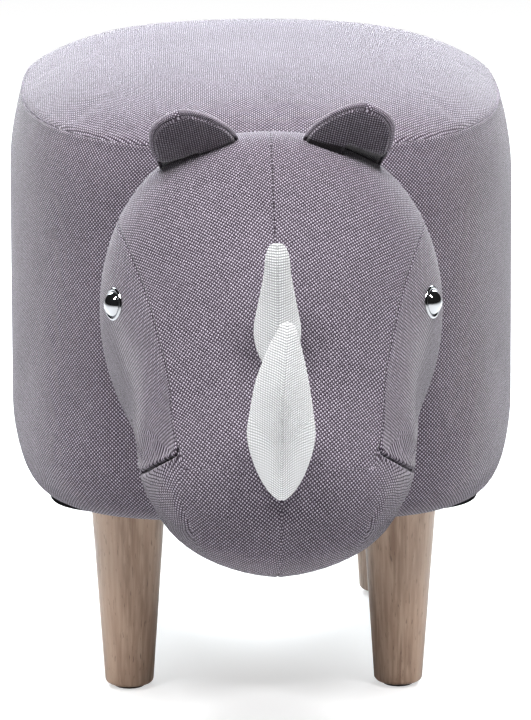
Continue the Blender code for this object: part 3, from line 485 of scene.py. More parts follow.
def side_base(turn, mark):
    inset, height = side_profile.at(mark)
    shrink = SMALLER_BY * clamped(mark / ROW_STEP) * clamped((wall_length - mark) / ROW_STEP)
    return body_point(turn, inset + shrink, height)


cloth_columns = round(outline_path.length / CLOTH_CELL)
cloth_rows = round(side_profile.length / CLOTH_CELL)


def coarse_side(column, row):
    return side_base(turn_of(column, cloth_columns), side_profile.length * row / cloth_rows)


def side_is_sewn(column, row):
    """Whether the side is held: at both edges, and where the head is sewn to it."""
    point, mark = coarse_side(column, row), side_profile.length * row / cloth_rows
    under_head = abs(point.x) < HEAD_FOOT_HALF_WIDTH and point.y < 0 and point.z > HEAD_FOOT_LOW
    return mark < CLOTH_CELL or mark > wall_length - CLOTH_CELL or under_head


side_swell = swelling(cloth_columns, cloth_rows, coarse_side, side_is_sewn, SIDE_SWELL_LIMIT)
side_rows = len(outer_marks) + len(inner_spots)


def side_point(column, row):
    row %= side_rows
    turn = turn_of(column, SIDE_COLUMNS)
    if row >= len(outer_marks):
        return body_point(turn, *inner_spots[row - len(outer_marks)])
    mark = outer_marks[row]
    return side_base(turn, mark) + side_swell(
        (column % SIDE_COLUMNS) / SIDE_COLUMNS, mark / side_profile.length
    )


def side_dent(column, row):
    if row >= len(outer_marks):
        return 0
    closing = min(column, SIDE_COLUMNS - column) * outline_path.length / SIDE_COLUMNS
    dent = seam_dent(outer_marks[row], TOP_SEAM_DEPTH, TOP_SEAM_ROLL)
    return dent + seam_dent(closing, BACK_SEAM_DEPTH) * (row > 0)


def side_threads(column, row, cell):
    mark = outer_marks[row] if row < len(outer_marks) else 0
    return outline_path.marks[column], -mark


side_mesh = dented(bent_grid(SIDE_COLUMNS, side_rows, side_point, side_threads), side_dent)
seat_side = make_piece(
    "seat_side", side_mesh, cover_cloth,
    ["side_cover", "side_foam_front", "side_foam_rear", "side_foam_left", "side_foam_right"],
)


# Seat cushion: the domed top panel of the same cloth over a thick slab of foam, sewn to the
# side band all round. It is full, so that it rises evenly from the seam to a flat middle.

SEAT_HEIGHT = 0.412
CROWN_INNER_POWER = 3.1
CROWN_OUTER_POWER = 0.8
TOP_CELLS = 96
TOP_CLOTH_CELLS = 52
TOP_SWELL_LIMIT = 0.0018
TOP_SIDE_INSET = 0.0036
CUSHION_SEAM_DEPTH = 0.0008
CUSHION_SEAM_ROLL = 0.4
crown_inset = SEAM_INSET + TOUCH_GAP


def crown_share(share):
    """Rings of the top panel drawn closer together towards its seam."""
    return (share + math.sin(share * math.pi / 2)) / 2


def crown_point(across, along):
    """A point of the domed top panel for a point of the square from -1 to 1."""
    ring = crown_share(max(abs(across), abs(along)))
    edge = body_point(math.atan2(across, along), crown_inset, SEAM_HEIGHT)
    lift = (1 - ring ** CROWN_INNER_POWER) ** CROWN_OUTER_POWER
    flat = Vector((0, BODY_MIDDLE)).lerp(edge.xy, ring)
    return Vector((flat.x, flat.y, edge.z * (1 - lift) + (SEAT_HEIGHT - SMALLER_BY) * lift))


def on_square(column, row, cells):
    return 2 * column / cells - 1, 2 * row / cells - 1


top_swell = swelling(
    TOP_CLOTH_CELLS, TOP_CLOTH_CELLS,
    lambda column, row: crown_point(*on_square(column, row, TOP_CLOTH_CELLS)),
    lambda column, row: column in (0, TOP_CLOTH_CELLS) or row in (0, TOP_CLOTH_CELLS),
    TOP_SWELL_LIMIT,
)


def top_point(column, row):
    lift = top_swell(column / TOP_CELLS, row / TOP_CELLS)
    return crown_point(*on_square(column, row, TOP_CELLS)) + lift


def top_threads(column, row, cell):
    flat = top_point(column, row)
    return flat.x, flat.y


def top_dent(column, row):
    ring = max(abs(value) for value in on_square(column, row, TOP_CELLS))
    distance = (1 - crown_share(ring)) * BODY_WIDTH / 2
    return seam_dent(distance, CUSHION_SEAM_DEPTH, CUSHION_SEAM_ROLL)


cushion = dented(bent_grid(TOP_CELLS, TOP_CELLS, top_point, top_threads), top_dent)
rim = [edge for edge in cushion.edges if edge.is_boundary]
for inset, height in (
    (SEAM_INSET + TOP_SIDE_INSET, SEAM_HEIGHT - 2 * TOUCH_GAP),
    (foam_top_inset + TOP_SIDE_INSET, DIP_START + TOUCH_GAP),
    (BODY_WIDTH / 4, DIP_START + TOUCH_GAP),
):
    grown = bmesh.ops.extrude_edge_only(cushion, edges=rim)["geom"]
    rim = [item for item in grown if isinstance(item, bmesh.types.BMEdge) and item.is_boundary]
    for vertex in {vertex for edge in rim for vertex in edge.verts}:
        turn = math.atan2(vertex.co.x / BODY_WIDTH, (vertex.co.y - BODY_MIDDLE) / BODY_LENGTH)
        vertex.co = body_point(turn, inset, height)
bmesh.ops.holes_fill(cushion, edges=rim, sides=0)
bmesh.ops.recalc_face_normals(cushion, faces=cushion.faces)
seat_cushion = make_piece(
    "seat_cushion", cushion, cover_cloth, ["seat_cover", "seat_foam"]
)


# Head: five panels of the cover cloth sewn together over fibre filling. Seams run down the
# middle of the face, past both cheeks and round the muzzle, which a deep tuck sets off below.

HEAD_REACH = 0.184
HEAD_HEIGHT = 0.258
HEAD_HALF_WIDTH = 0.1065
CHIN_HEIGHT = 0.143
SNOUT_DRIFT = 0.003
HEAD_RING_SHARES = (
    (-0.163, 0.841, -0.163, 0.550, -0.163, 0.182, 0.806),
    (0.016, 0.938, 0.022, 0.562, 0.027, 0.112, 0.877),
    (0.152, 0.988, 0.207, 0.593, 0.217, 0.120, 0.940),
    (0.304, 0.999, 0.370, 0.585, 0.402, 0.101, 1.000),
    (0.467, 0.934, 0.516, 0.554, 0.576, 0.031, 0.934),
    (0.609, 0.845, 0.663, 0.434, 0.712, 0.001, 0.835),
    (0.728, 0.740, 0.793, 0.298, 0.842, 0.016, 0.785),
    (0.815, 0.616, 0.875, 0.248, 0.929, 0.066, 0.654),
    (0.880, 0.508, 0.943, 0.262, 0.978, 0.130, 0.474),
    (0.935, 0.420, 0.978, 0.287, 1.000, 0.194, 0.275),
    (0.984, 0.306, 0.984, 0.306, 0.984, 0.306, 0.000),
)
HEAD_RING_POWERS = (2.3, 2.3, 2.25, 2.05, 1.95, 1.9, 1.75, 1.8, 1.9, 1.9, 1.9)
FACE_SEAM_SHARES = (0.32, 0.33, 0.34, 0.345, 0.345, 0.33, 0.31, 0.38, 0.43, 0.43, 0.43)
JAW_SEAM_SHARES = (0.77, 0.77, 0.76, 0.735, 0.70, 0.63, 0.53, 0.46, 0.46, 0.46, 0.46)
TUCK_STATION = 0.70
TUCK_FLAT = 0.01
TUCK_FIRST_RAY = math.radians(74)
TUCK_LAST_RAY = math.radians(100)
TUCK_FADE = math.radians(24)
TUCK_SHADE_REACH = 0.0004
TUCK_LEAD = 0.022
TUCK_FALL_PER_TURN = 0.33
TUCK_DEPTH = 0.0046
TUCK_ROLL = 0.22
TUCK_WIDTH = 0.0008
TUCK_START_COLUMNS = 5
TUCK_END_RAY = math.radians(112)
TUCK_END_TURN = math.radians(10)
MUZZLE_SEAM = 0.748
MUZZLE_SEAM_DEPTH = 0.0003
JAW_SEAM_END = (0.62, 0.70)
WARP_START = 0.42
CHIN_FIRST_RAY = math.radians(116)
CHIN_LAST_RAY = math.radians(155)
CHIN_FALL_PER_TURN = 0.175
CHIN_REACH = 0.245
HEAD_PACE = 0.23
FREE_STATION = 0.28
HEAD_SWELL_LIMIT = 0.0017
HEAD_SMALLER_BY = 0.0006
HEAD_SMALLER_FROM = 0.125
HEAD_SEAM_DEPTHS = (0.0006, 0.0006, 0.0009, 0.0005)
HEAD_SEAM_ROLL = 0.35
HEAD_SEAM_WIDTH = 0.0006
NECK_SEAM_DEPTH = 0.0010
NECK_SEAM_ROLL = 0.2
NOSE_STATION = 0.985
FACE_GRAIN = math.radians(8)
CHEEK_GRAIN = math.radians(16)
CHEEK_THREAD = 0.97
FACE_STRETCH = math.sqrt(4 / 3)
HEAD_EDGE = math.radians(80)
HEAD_STEPS = (0, 0.0005, 0.0010, 0.0017, 0.0027, 0.0042)
HEAD_ROWS = 66
ROW_CLEARANCE = 0.003
ROW_MARGIN = 0.0001
WIDEST_SHARE = 0.999
PANEL_COLUMNS = (17, 18, 14)
BACK_SHARES = (0, 0.25, 0.5, 0.75, 0.95)
RING_SAMPLES = 180
MIDDLE_SAMPLES = 300
DIP_ROUNDS = 3
NECK_HALVINGS = 22
COARSE_HEAD = (112, 56)
SEWN_CELLS = 0.6


def smooth_row(table, share):
    """A smooth curve through the rows of a table, read at a share of its length."""
    last = len(table) - 1
    spot = clamped(share) * last
    index = min(int(spot), last - 1)
    rest = spot - index
    before, here, after = table[max(index - 1, 0)], table[index], table[index + 1]
    beyond = table[min(index + 2, last)]
    row = []
    for past, start, end, coming in zip(before, here, after, beyond):
        slope_in, slope_out = (end - past) / 2, (coming - start) / 2
        cubic = 2 * start - 2 * end + slope_in + slope_out
        square = 3 * end - 3 * start - 2 * slope_in - slope_out
        row.append(start + rest * (slope_in + rest * (square + rest * cubic)))
    return row


def smooth_value(values, share):
    return smooth_row([(value,) for value in values], share)[0]


def drifted(point):
    """Move a point of the head sideways, as the snout sits a little to its left."""
    reach = max((BODY_MIDDLE - BODY_LENGTH / 2 - point.y) / HEAD_REACH, 0)
    return point + Vector((SNOUT_DRIFT * reach ** 3, 0, 0))


def head_point(station, ray):
    """A point of the head: station from neck to nose, ray from the crown down.

    A ring's shares say how far out and up its crown, middle and chin lie, and how wide it is.
    """
    *places, width = smooth_row(HEAD_RING_SHARES, station)
    power = smooth_value(HEAD_RING_POWERS, station)
    level, side = math.cos(ray), math.sin(ray)
    reach = (abs(level) ** power + abs(side) ** power) ** (1 / power)
    level, side = level / reach, side / reach
    spots = []
    for top, middle, low in zip(places[:2], places[2:4], places[4:]):
        spots.append(middle + level * (top - low) / 2 + level * level * ((top + low) / 2 - middle))
    return drifted(Vector((
        side * max(width, 0) * HEAD_HALF_WIDTH,
        BODY_MIDDLE - BODY_LENGTH / 2 - spots[0] * HEAD_REACH,
        CHIN_HEIGHT + spots[1] * HEAD_HEIGHT,
    )))


def seam_ray(turn, station):
    """The ray on which a seam lies that was laid out as a share of a half turn."""
    power = smooth_value(HEAD_RING_POWERS, station)
    level = math.copysign(abs(math.cos(turn)) ** (2 / power), math.cos(turn))
    return math.atan2(math.sin(turn) ** (2 / power), level)


def body_front(x, z):
    """Where the seat's front face is, in Y, at a place beside and above."""
    lowered = z
    for _ in range(DIP_ROUNDS):
        height = clamped(lowered, UNDERSIDE_HEIGHT, SEAT_HEIGHT - TOUCH_GAP)
        if height > SEAM_HEIGHT:
            lift = (height - SEAM_HEIGHT) / (SEAT_HEIGHT - SEAM_HEIGHT)
            ring = (1 - lift ** (1 / CROWN_OUTER_POWER)) ** (1 / CROWN_INNER_POWER)
            half_width = (BODY_WIDTH / 2 - SEAM_INSET) * ring
            half_length = (BODY_LENGTH / 2 - SEAM_INSET) * ring
        else:
            inset = wall_inset(height)
            half_width, half_length = BODY_WIDTH / 2 - inset, BODY_LENGTH / 2 - inset
        power = plan_power(height)
        along = (1 - clamped(abs(x) / half_width, 0, WIDEST_SHARE) ** power) ** (1 / power)
        dip = SEAM_DIP * along ** 2 * clamped((height - DIP_START) / (SEAM_HEIGHT - DIP_START))
        lowered = z + dip
    return BODY_MIDDLE - half_length * along


def wall_inset(height):
    if height > SEAM_HEIGHT - HIGH_ROUND_HEIGHT:
        rise = 1 - (SEAM_HEIGHT - height) / HIGH_ROUND_HEIGHT
        return high_round(math.asin(clamped(rise * math.sin(HIGH_ROUND_TURN), 0, 1))).x
    if height < UNDERSIDE_HEIGHT + LOW_ROUND_HEIGHT:
        drop = (height - UNDERSIDE_HEIGHT) / LOW_ROUND_HEIGHT
        return low_round(math.acos(clamped(1 - drop) ** (LOW_ROUND_POWER / 2))).x
    return 0


def neck_station(ray):
    """The station at which the head's skin meets the seat's front along a ray."""
    inside, outside = 0.0, FREE_STATION
    for _ in range(NECK_HALVINGS):
        middle = (inside + outside) / 2
        spot = head_point(middle, ray)
        if spot.y > body_front(spot.x, spot.z) - TOUCH_GAP:
            inside = middle
        else:
            outside = middle
    return outside


neck_cache = {}


def head_skin(station, ray):
    """A point of the head where its neck rows start on the seat's front."""
    if station < FREE_STATION:
        key = round(ray, 5)
        if key not in neck_cache:
            neck_cache[key] = neck_station(ray)
        start = neck_cache[key]
        station = start + (FREE_STATION - start) * station / FREE_STATION
    return head_point(station, ray)


def ring_plan(station, panel_columns, steps):
    """Half a ring's columns: ray, distance from a seam beside it, and way from the face seam."""
    rays = [math.pi * share for share in even_shares(RING_SAMPLES)]
    ring = Path([head_skin(station, ray) for ray in rays])
    seams = [0.0]
    for shares in (FACE_SEAM_SHARES, JAW_SEAM_SHARES):
        ray = seam_ray(math.pi * smooth_value(shares, station), station)
        spot = clamped(ray / math.pi, 0, 1) * RING_SAMPLES
        low = min(int(spot), RING_SAMPLES - 1)
        seams.append(ring.marks[low] + (spot - low) * (ring.marks[low + 1] - ring.marks[low]))
    seams.append(ring.length)
    columns = []
    for panel, count in enumerate(panel_columns):
        start, end = seams[panel], seams[panel + 1]
        scale = min(1, (end - start) / (3 * steps[-1] + TOUCH_GAP))
        first, last = start + steps[-1] * scale, end - steps[-1] * scale
        columns += [(start + step * scale, step * scale) for step in steps]
        columns += [(first + (last - first) * share, None) for share in even_shares(count)[1:-1]]
        columns += [(end - step * scale, step * scale) for step in reversed(steps[1:])]
    columns.append((seams[3], 0))
    plan = []
    for mark, distance in columns:
        index, share = ring.step(mark)
        ray = rays[index] + (rays[index + 1] - rays[index]) * share
        plan.append((ray, distance, mark - seams[1]))
    return plan


head_stations = set(even_shares(HEAD_ROWS))
for seam, seam_steps in ((TUCK_STATION, HEAD_STEPS), (MUZZLE_SEAM, HEAD_STEPS[:4])):
    reach = seam_steps[-1] / HEAD_PACE
    head_stations = {row for row in head_stations if abs(row - seam) > reach + ROW_CLEARANCE}
    head_stations |= {seam + side * step / HEAD_PACE for step in seam_steps for side in (-1, 1)}
head_stations |= {step / HEAD_PACE for step in HEAD_STEPS}
head_stations = sorted(head_stations)
head_plan = [ring_plan(station, PANEL_COLUMNS, HEAD_STEPS) for station in head_stations]
half_columns = len(head_plan[0]) - 1
head_columns = 2 * half_columns


def head_column(column):
    """The column's place in the half ring, and the side that it is on."""
    column %= head_columns
    return (column, 1) if column <= half_columns else (head_columns - column, -1)


def eased(share):
    return share * share * (3 - 2 * share)


def tuck_shift(ray):
    """How far the muzzle's tuck leaves its row, as it runs level round the side."""
    turn = clamped(ray, TUCK_FIRST_RAY, TUCK_LAST_RAY) - TUCK_FIRST_RAY
    gone = eased(clamped((ray - TUCK_LAST_RAY) / TUCK_FADE))
    return (TUCK_LEAD - TUCK_FALL_PER_TURN * turn) * (1 - gone)


def chin_shift(ray):
    """How far the seam round the muzzle drops back below it."""
    return -CHIN_FALL_PER_TURN * (clamped(ray, CHIN_FIRST_RAY, CHIN_LAST_RAY) - CHIN_FIRST_RAY)


def bent_station(station, ray):
    """Bend the rows beside the muzzle's tuck and seam so that one of them follows each."""
    ray = abs(ray)
    chin = eased(clamped(1 - abs(station - MUZZLE_SEAM) / CHIN_REACH))
    if station < TUCK_STATION:
        share = eased(clamped((station - WARP_START) / (TUCK_STATION - TUCK_FLAT - WARP_START)))
    else:
        room = MUZZLE_SEAM - HEAD_STEPS[1] / HEAD_PACE - TUCK_STATION - TUCK_FLAT
        share = clamped(1 - (station - TUCK_STATION - TUCK_FLAT) / room)
    return station + tuck_shift(ray) * share + chin_shift(ray) * chin


def coarse_head(column, row):
    columns, rows = COARSE_HEAD
    place = abs((column % columns) / columns * 2 - 1)
    side = 1 if (column % columns) * 2 < columns else -1
    return head_skin(row / rows, math.pi * (1 - place) * side)


def coarse_is_sewn(column, row):
    """Whether the head's skin is held there, at its neck and along its seams."""
    columns, rows = COARSE_HEAD
    station = row / rows
    place = 1 - abs((column % columns) / columns * 2 - 1)
    near = SEWN_CELLS / columns * 2
    seams = [0, 1]
    if station < MUZZLE_SEAM:
        for shares in (FACE_SEAM_SHARES, JAW_SEAM_SHARES):
            seams.append(seam_ray(math.pi * smooth_value(shares, station), station) / math.pi)
    tuck = TUCK_STATION + tuck_shift(math.pi * place)
    on_side = math.pi * place > TUCK_FIRST_RAY
    muzzle = MUZZLE_SEAM + chin_shift(math.pi * place)
    on_tuck = on_side and min(abs(station - tuck), abs(station - muzzle)) < SEWN_CELLS / rows
    return row < 2 or row > rows - 2 or on_tuck or min(abs(place - seam) for seam in seams) < near


head_swell = swelling(*COARSE_HEAD, coarse_head, coarse_is_sewn, HEAD_SWELL_LIMIT)


def head_grid_point(column, row):
    half, side = head_column(column)
    if row < len(BACK_SHARES):
        rim = head_skin(0, head_plan[0][half][0] * side)
        middle = Vector((0, 0, CHIN_HEIGHT + HEAD_HEIGHT / 2))
        flat = middle.lerp(rim, BACK_SHARES[row])
        return Vector((flat.x, body_front(flat.x, flat.z) - TOUCH_GAP, flat.z))
    row -= len(BACK_SHARES)
    ray = head_plan[row][half][0]
    station = bent_station(head_stations[row], ray)
    turn_share = ray / math.pi / 2 if side > 0 else 1 - ray / math.pi / 2
    return head_skin(station, ray * side) + head_swell(turn_share, station)


def seam_left(seam_index, station):
    """How much of a seam shows; the jaw's seam runs out at the muzzle's tuck."""
    if seam_index != 2:
        return 1
    start, end = JAW_SEAM_END
    return 1 - eased(clamped((station - start) / (end - start)))


def head_dent(column, row):
    """Seams, the muzzle's tuck and the neck seam, as depth along the skin's normal."""
    half = head_column(column)[0]
    row -= len(BACK_SHARES)
    station = head_stations[row]
    if row < 0 or station > NOSE_STATION:
        return 0
    ray, distance = head_plan[row][half][:2]
    dent = -HEAD_SMALLER_BY * clamped(station / HEAD_SMALLER_FROM)
    seam_index = seam_of(half)
    if distance is not None and (station < MUZZLE_SEAM or seam_index in (0, 3)):
        depth = HEAD_SEAM_DEPTHS[seam_index] * seam_left(seam_index, station)
        dent += seam_dent(distance, depth, HEAD_SEAM_ROLL, HEAD_SEAM_WIDTH)
    if half >= face_seam_column:
        start = clamped((half - face_seam_column) / TUCK_START_COLUMNS)
        end = clamped((TUCK_END_RAY - ray) / TUCK_END_TURN)
        beside = abs(station - TUCK_STATION) * HEAD_PACE
        dent += seam_dent(beside, TUCK_DEPTH * min(start, end), TUCK_ROLL, TUCK_WIDTH)
        lower = clamped((ray - TUCK_LAST_RAY) / TUCK_FADE)
        beside = abs(station - MUZZLE_SEAM) * HEAD_PACE
        dent += seam_dent(beside, MUZZLE_SEAM_DEPTH * lower, HEAD_SEAM_ROLL, HEAD_SEAM_WIDTH)
    return dent + seam_dent(station * HEAD_PACE, NECK_SEAM_DEPTH, NECK_SEAM_ROLL)


face_seam_column = PANEL_COLUMNS[0] + 2 * len(HEAD_STEPS) - 2
jaw_seam_column = face_seam_column + PANEL_COLUMNS[1] + 2 * len(HEAD_STEPS) - 2


def seam_of(half):
    """Which seam a column near one belongs to: crown, face, jaw or chin."""
    marks = (0, face_seam_column, jaw_seam_column, half_columns)
    return min(range(4), key=lambda index: abs(half - marks[index]))


crown_line = [head_point(share, 0) for share in even_shares(MIDDLE_SAMPLES)]
chin_line = [head_point(1 - share, math.pi) for share in even_shares(MIDDLE_SAMPLES)]
middle_line = Path(crown_line + chin_line[1:])
middle_tree = KDTree(len(middle_line.points))
for index, spot in enumerate(middle_line.points):
    middle_tree.insert(Vector((0, spot.y, spot.z)), index)
middle_tree.balance()
cheek_line = Path([
    head_skin(station, plan[face_seam_column][0]) for station, plan in zip(head_stations, head_plan)
])


def face_threads(point, side):
    """Where a point lies on the flat cloth of a face panel."""
    flat = Vector((0, point.y, point.z))
    index = middle_tree.find(flat)[1]
    index = min(max(index, 1), len(middle_line.points) - 2)
    before, after = middle_line.points[index - 1], middle_line.points[index + 1]
    run = Vector((0, after.y - before.y, after.z - before.z)).normalized()
    offset = flat - Vector((0, middle_line.points[index].y, middle_line.points[index].z))
    length = middle_line.marks[index] + offset.dot(run)
    deep = (offset - run * offset.dot(run)).length
    wide = math.hypot(point.x - middle_line.points[index].x, FACE_STRETCH * deep)
    return Vector((side * wide, -length))


def turned(flat, angle):
    return (
        flat.x * math.cos(angle) - flat.y * math.sin(angle),
        flat.x * math.sin(angle) + flat.y * math.cos(angle),
    )


def head_threads(column, row, cell):
    """Where the cloth of each panel lies; the panels meet at different angles."""
    cell_column, cell_row = cell
    side = 1 if cell_column < half_columns else -1
    half = cell_column if side > 0 else head_columns - 1 - cell_column
    point = head_grid_point(column, row)
    station_row = max(cell_row - len(BACK_SHARES), 0)
    on_muzzle = head_stations[station_row] >= MUZZLE_SEAM - ROW_MARGIN
    if half < face_seam_column or on_muzzle:
        return turned(face_threads(point, side), FACE_GRAIN * side)
    row = max(row - len(BACK_SHARES), 0)
    ray, _, beside = head_plan[row][head_column(column)[0]]
    spot = bent_station(head_stations[row], ray)
    after = min(max(bisect_right(head_stations, spot), 1), len(head_stations) - 1)
    share = (spot - head_stations[after - 1]) / (head_stations[after] - head_stations[after - 1])
    first, second = cheek_line.marks[after - 1], cheek_line.marks[after]
    along = first + (second - first) * share
    return turned(Vector((side * beside, -along)), CHEEK_GRAIN * side)


crown_path = Path([head_skin(station, 0) for station in head_stations])


def head_seam(column, row):
    """How near a corner is to the seam down the face or beside it, and how far along; in the
    muzzle's tuck, a full mark of painted shade.
    """
    half = head_column(column)[0]
    row -= len(BACK_SHARES)
    ray, distance = head_plan[row][half][:2] if row >= 0 else (0, None)
    # In the crease of the muzzle's tuck the cloth takes its gap colour in a solid line: painted
    # shade.
    near_tuck = abs(head_stations[row] - TUCK_STATION) * HEAD_PACE < TUCK_SHADE_REACH
    if row >= 0 and half > face_seam_column and near_tuck and ray < TUCK_LAST_RAY:
        return 1, 0
    seam_index = seam_of(half)
    beyond = seam_index and head_stations[row] > MUZZLE_SEAM + ROW_MARGIN
    if distance is None or beyond or row < 0:
        return 0, 0
    line = crown_path if seam_index in (0, 3) else cheek_line
    dark_mark = 1 if seam_index == 0 else CHEEK_THREAD * seam_left(seam_index, head_stations[row])
    return dark_mark * max(1 - distance / STITCH_REACH, 0), line.marks[row]


def mark_stitches_and_shade(grid, seam_at):
    """Keep how near each corner is to a sewn seam, or to a drawn line of painted shade, and its
    length along it.
    """
    place_of = place_reader(grid)
    seams = grid.loops.layers.uv.new("seams")
    for face in grid.faces:
        for loop in face.loops:
            loop[seams].uv = seam_at(*place_of(loop.vert))


head_rows = len(BACK_SHARES) + len(head_stations) - 1
head_mesh = bent_grid(head_columns, head_rows, head_grid_point, head_threads)
mark_stitches_and_shade(head_mesh, head_seam)
head_mesh = dented(head_mesh, head_dent)
bmesh.ops.recalc_face_normals(head_mesh, faces=head_mesh.faces)
head_cutter_mesh = bpy.data.meshes.new("head_cutter")
grown = head_mesh.copy()
grown.normal_update()
for vertex in grown.verts:
    vertex.co += vertex.normal * TOUCH_GAP
grown.to_mesh(head_cutter_mesh)
grown.free()
head_cutter = bpy.data.objects.new("head_cutter", head_cutter_mesh)
head = make_piece(
    "head", head_mesh, cover_cloth,
    ["head_stuffing", "head_face_left", "head_face_right", "head_cheek_left",
     "head_cheek_right", "head_jaw"],
    sharp=HEAD_EDGE,
)


# Ears: flaps of the cover cloth sewn right sides together, turned and lightly filled. The back
# panel rolls over the edge, so a seam runs just inside it, and the straight side is sewn on.

EAR_STATION = 0.30
EAR_TURN = math.radians(24.5)
EAR_HALF_WIDTH = 0.0258
EAR_HEIGHT = 0.0378
EAR_SLOPE_SHARE = 0.03
EAR_ROOT_DEPTH = 0.024
EAR_HALF_THICKNESS = 0.0065
EAR_TILT = math.radians(22)
EAR_LEANS = {1: math.radians(24), -1: math.radians(34)}
EAR_POWER = 2.3
EAR_INNER_POWER = 1.5
EAR_OUTER_POWER = 3.2
EAR_ROOT_POWER = 7
EAR_COLUMNS = 96
EAR_ROWS = 44
EAR_SEAM_INSIDE = 0.0024
EAR_SEAM_DEPTH = 0.0009
EAR_LIFTS = {1: 0.0095, -1: 0.0048}
EAR_LIFT_SLOPE = 0.9
EAR_CURL = 0.95
EAR_GRAIN = math.radians(35)
EAR_RIM_ROWS = (15, 28)
EAR_HIGHLIGHT_ROWS = (17, 24)
EAR_RIM_RADIUS = 0.034
EAR_FRONT_SLANT = 0.5
# Painted shade under the ear's lifted front edge, drawn in the cloth's gap colour:
EAR_SHADE_SHARE = 0.8
EAR_SHADE_START = 0.925
EAR_SHADE_RAMP = 40
EAR_FRONT_SHADE_WEAVE = (0.00105, 0.60)
EAR_RIM_HIGHLIGHT_WEAVE = (0.00070, 1.35)

# The flap's front is drawn in a darker copy of the cover cloth: painted shade where it leans
# forward out of the light.
ear_front_painted_shade = make_cloth("ear_front_painted_shade", *EAR_FRONT_SHADE_WEAVE)
# A lighter, finer copy of the cloth for a band round the rim: a painted highlight where the rim
# catches the light from above.
ear_rim_painted_highlight = make_cloth("ear_rim_painted_highlight", *EAR_RIM_HIGHLIGHT_WEAVE)


def rounded_unit(angle, power):
    """Cosine and sine of an angle on a superellipse of half size 1."""
    cosine, sine = math.cos(angle), math.sin(angle)
    return (
        math.copysign(abs(cosine) ** (2 / power), cosine),
        math.copysign(abs(sine) ** (2 / power), sine),
    )


def ear_lift(across, side):
    """How far the flap's front edge is lifted off the head, most at its outer end."""
    return EAR_LIFTS[side] * clamped(EAR_LIFT_SLOPE + EAR_LIFT_SLOPE * across)


def ear_spot(column, row, side):
    """A point of the ear's flap before it is leant and set on the head."""
    angle = turn_of(column, EAR_COLUMNS)
    edge_power = EAR_OUTER_POWER if math.cos(angle) > 0 else EAR_INNER_POWER
    across, up = rounded_unit(angle, edge_power if math.sin(angle) > 0 else EAR_ROOT_POWER)
    through, spread = rounded_unit(math.pi * row / EAR_ROWS, EAR_POWER)
    if row in (0, EAR_ROWS):
        spread = 0
    reach = EAR_HEIGHT * (1 + EAR_SLOPE_SHARE * across) if up > 0 else EAR_ROOT_DEPTH
    height = reach * up * spread
    curl = EAR_CURL * max(ear_lift(across, side) - max(height, 0), 0)
    return Vector((
        side * EAR_HALF_WIDTH * across * spread, curl - EAR_HALF_THICKNESS * through, height
    ))


def ear_threads(column, row, cell, side):
    """Threads run over the flap's two faces, and round its rim."""
    spot = ear_spot(column, row, side)
    if EAR_RIM_ROWS[0] <= cell[1] <= EAR_RIM_ROWS[1]:
        return EAR_RIM_RADIUS * 2 * math.pi * column / EAR_COLUMNS, spot.y
    return turned(spot.xz, EAR_GRAIN * side)


def ear_under_painted_shade(column, row, side):
    """Painted shade under the lifted front of the flap: a strip that takes the cloth's gap colour,
    deepest below the lifted edge.
    """
    spot = ear_spot(column, row, side)
    below = EAR_SHADE_SHARE * ear_lift(side * spot.x / EAR_HALF_WIDTH, side) - spot.z
    return (EAR_SHADE_START + EAR_SHADE_RAMP * below if row < EAR_ROWS / 2 else 0), 0


def ear_dent(column, row):
    """The seam just inside the edge of the ear's front."""
    if row > EAR_ROWS / 2:
        return 0
    spread = rounded_unit(math.pi * row / EAR_ROWS, EAR_POWER)[1]
    return seam_dent(abs((1 - spread) * EAR_HEIGHT - EAR_SEAM_INSIDE), EAR_SEAM_DEPTH)


def cut_by(piece, cutter):
    """Cut a piece by another shape and keep the result as its mesh."""
    bpy.context.scene.collection.objects.link(cutter)
    modifier = piece.modifiers.new("cut", "BOOLEAN")
    modifier.operation = "DIFFERENCE"
    modifier.solver = "EXACT"
    modifier.object = cutter
    finished = piece.evaluated_get(bpy.context.evaluated_depsgraph_get())
    mesh = bpy.data.meshes.new_from_object(finished)
    mesh.name = piece.name + "_cut"
    piece.modifiers.remove(modifier)
    piece.data = mesh
    bpy.context.scene.collection.objects.unlink(cutter)


for name, side in (("ear_left", 1), ("ear_right", -1)):
    ray = seam_ray(EAR_TURN, EAR_STATION) * side
    place = Matrix.Translation(head_point(EAR_STATION, ray))
    place @= Matrix.Rotation(side * EAR_TILT, 4, "Y") @ Matrix.Rotation(EAR_LEANS[side], 4, "X")
    flap = dented(bent_grid(
        EAR_COLUMNS, EAR_ROWS,
        lambda column, row: ear_spot(column, row, side),
        lambda column, row, cell: ear_threads(column, row, cell, side),
    ), ear_dent)
    mark_stitches_and_shade(flap, lambda column, row: ear_under_painted_shade(column, row, side))
    flap.normal_update()
    row_of = flap.verts.layers.int["row"]
    # Front faces take the darker copy of the cloth, painted shade; the rim band takes the lighter
    # copy, a painted highlight.
    for face in flap.faces:
        on_front = max(vertex[row_of] for vertex in face.verts) < EAR_ROWS / 2
        first_row = min(vertex[row_of] for vertex in face.verts)
        face.material_index = int(on_front and abs(face.normal.y) > EAR_FRONT_SLANT)
        if EAR_HIGHLIGHT_ROWS[0] <= first_row <= EAR_HIGHLIGHT_ROWS[1]:
            face.material_index = 2
    bmesh.ops.transform(flap, matrix=place, verts=flap.verts)
    ear = make_piece("padded_" + name, flap, cover_cloth, [name])
    ear.data.materials.append(ear_front_painted_shade)
    ear.data.materials.append(ear_rim_painted_highlight)
    cut_by(ear, head_cutter)


# Horns: two panels of off-white knitted cloth sewn down the middle of the front and the back,
# filled firmly and sewn to the snout. The courses of the knit drop towards the middle seam.

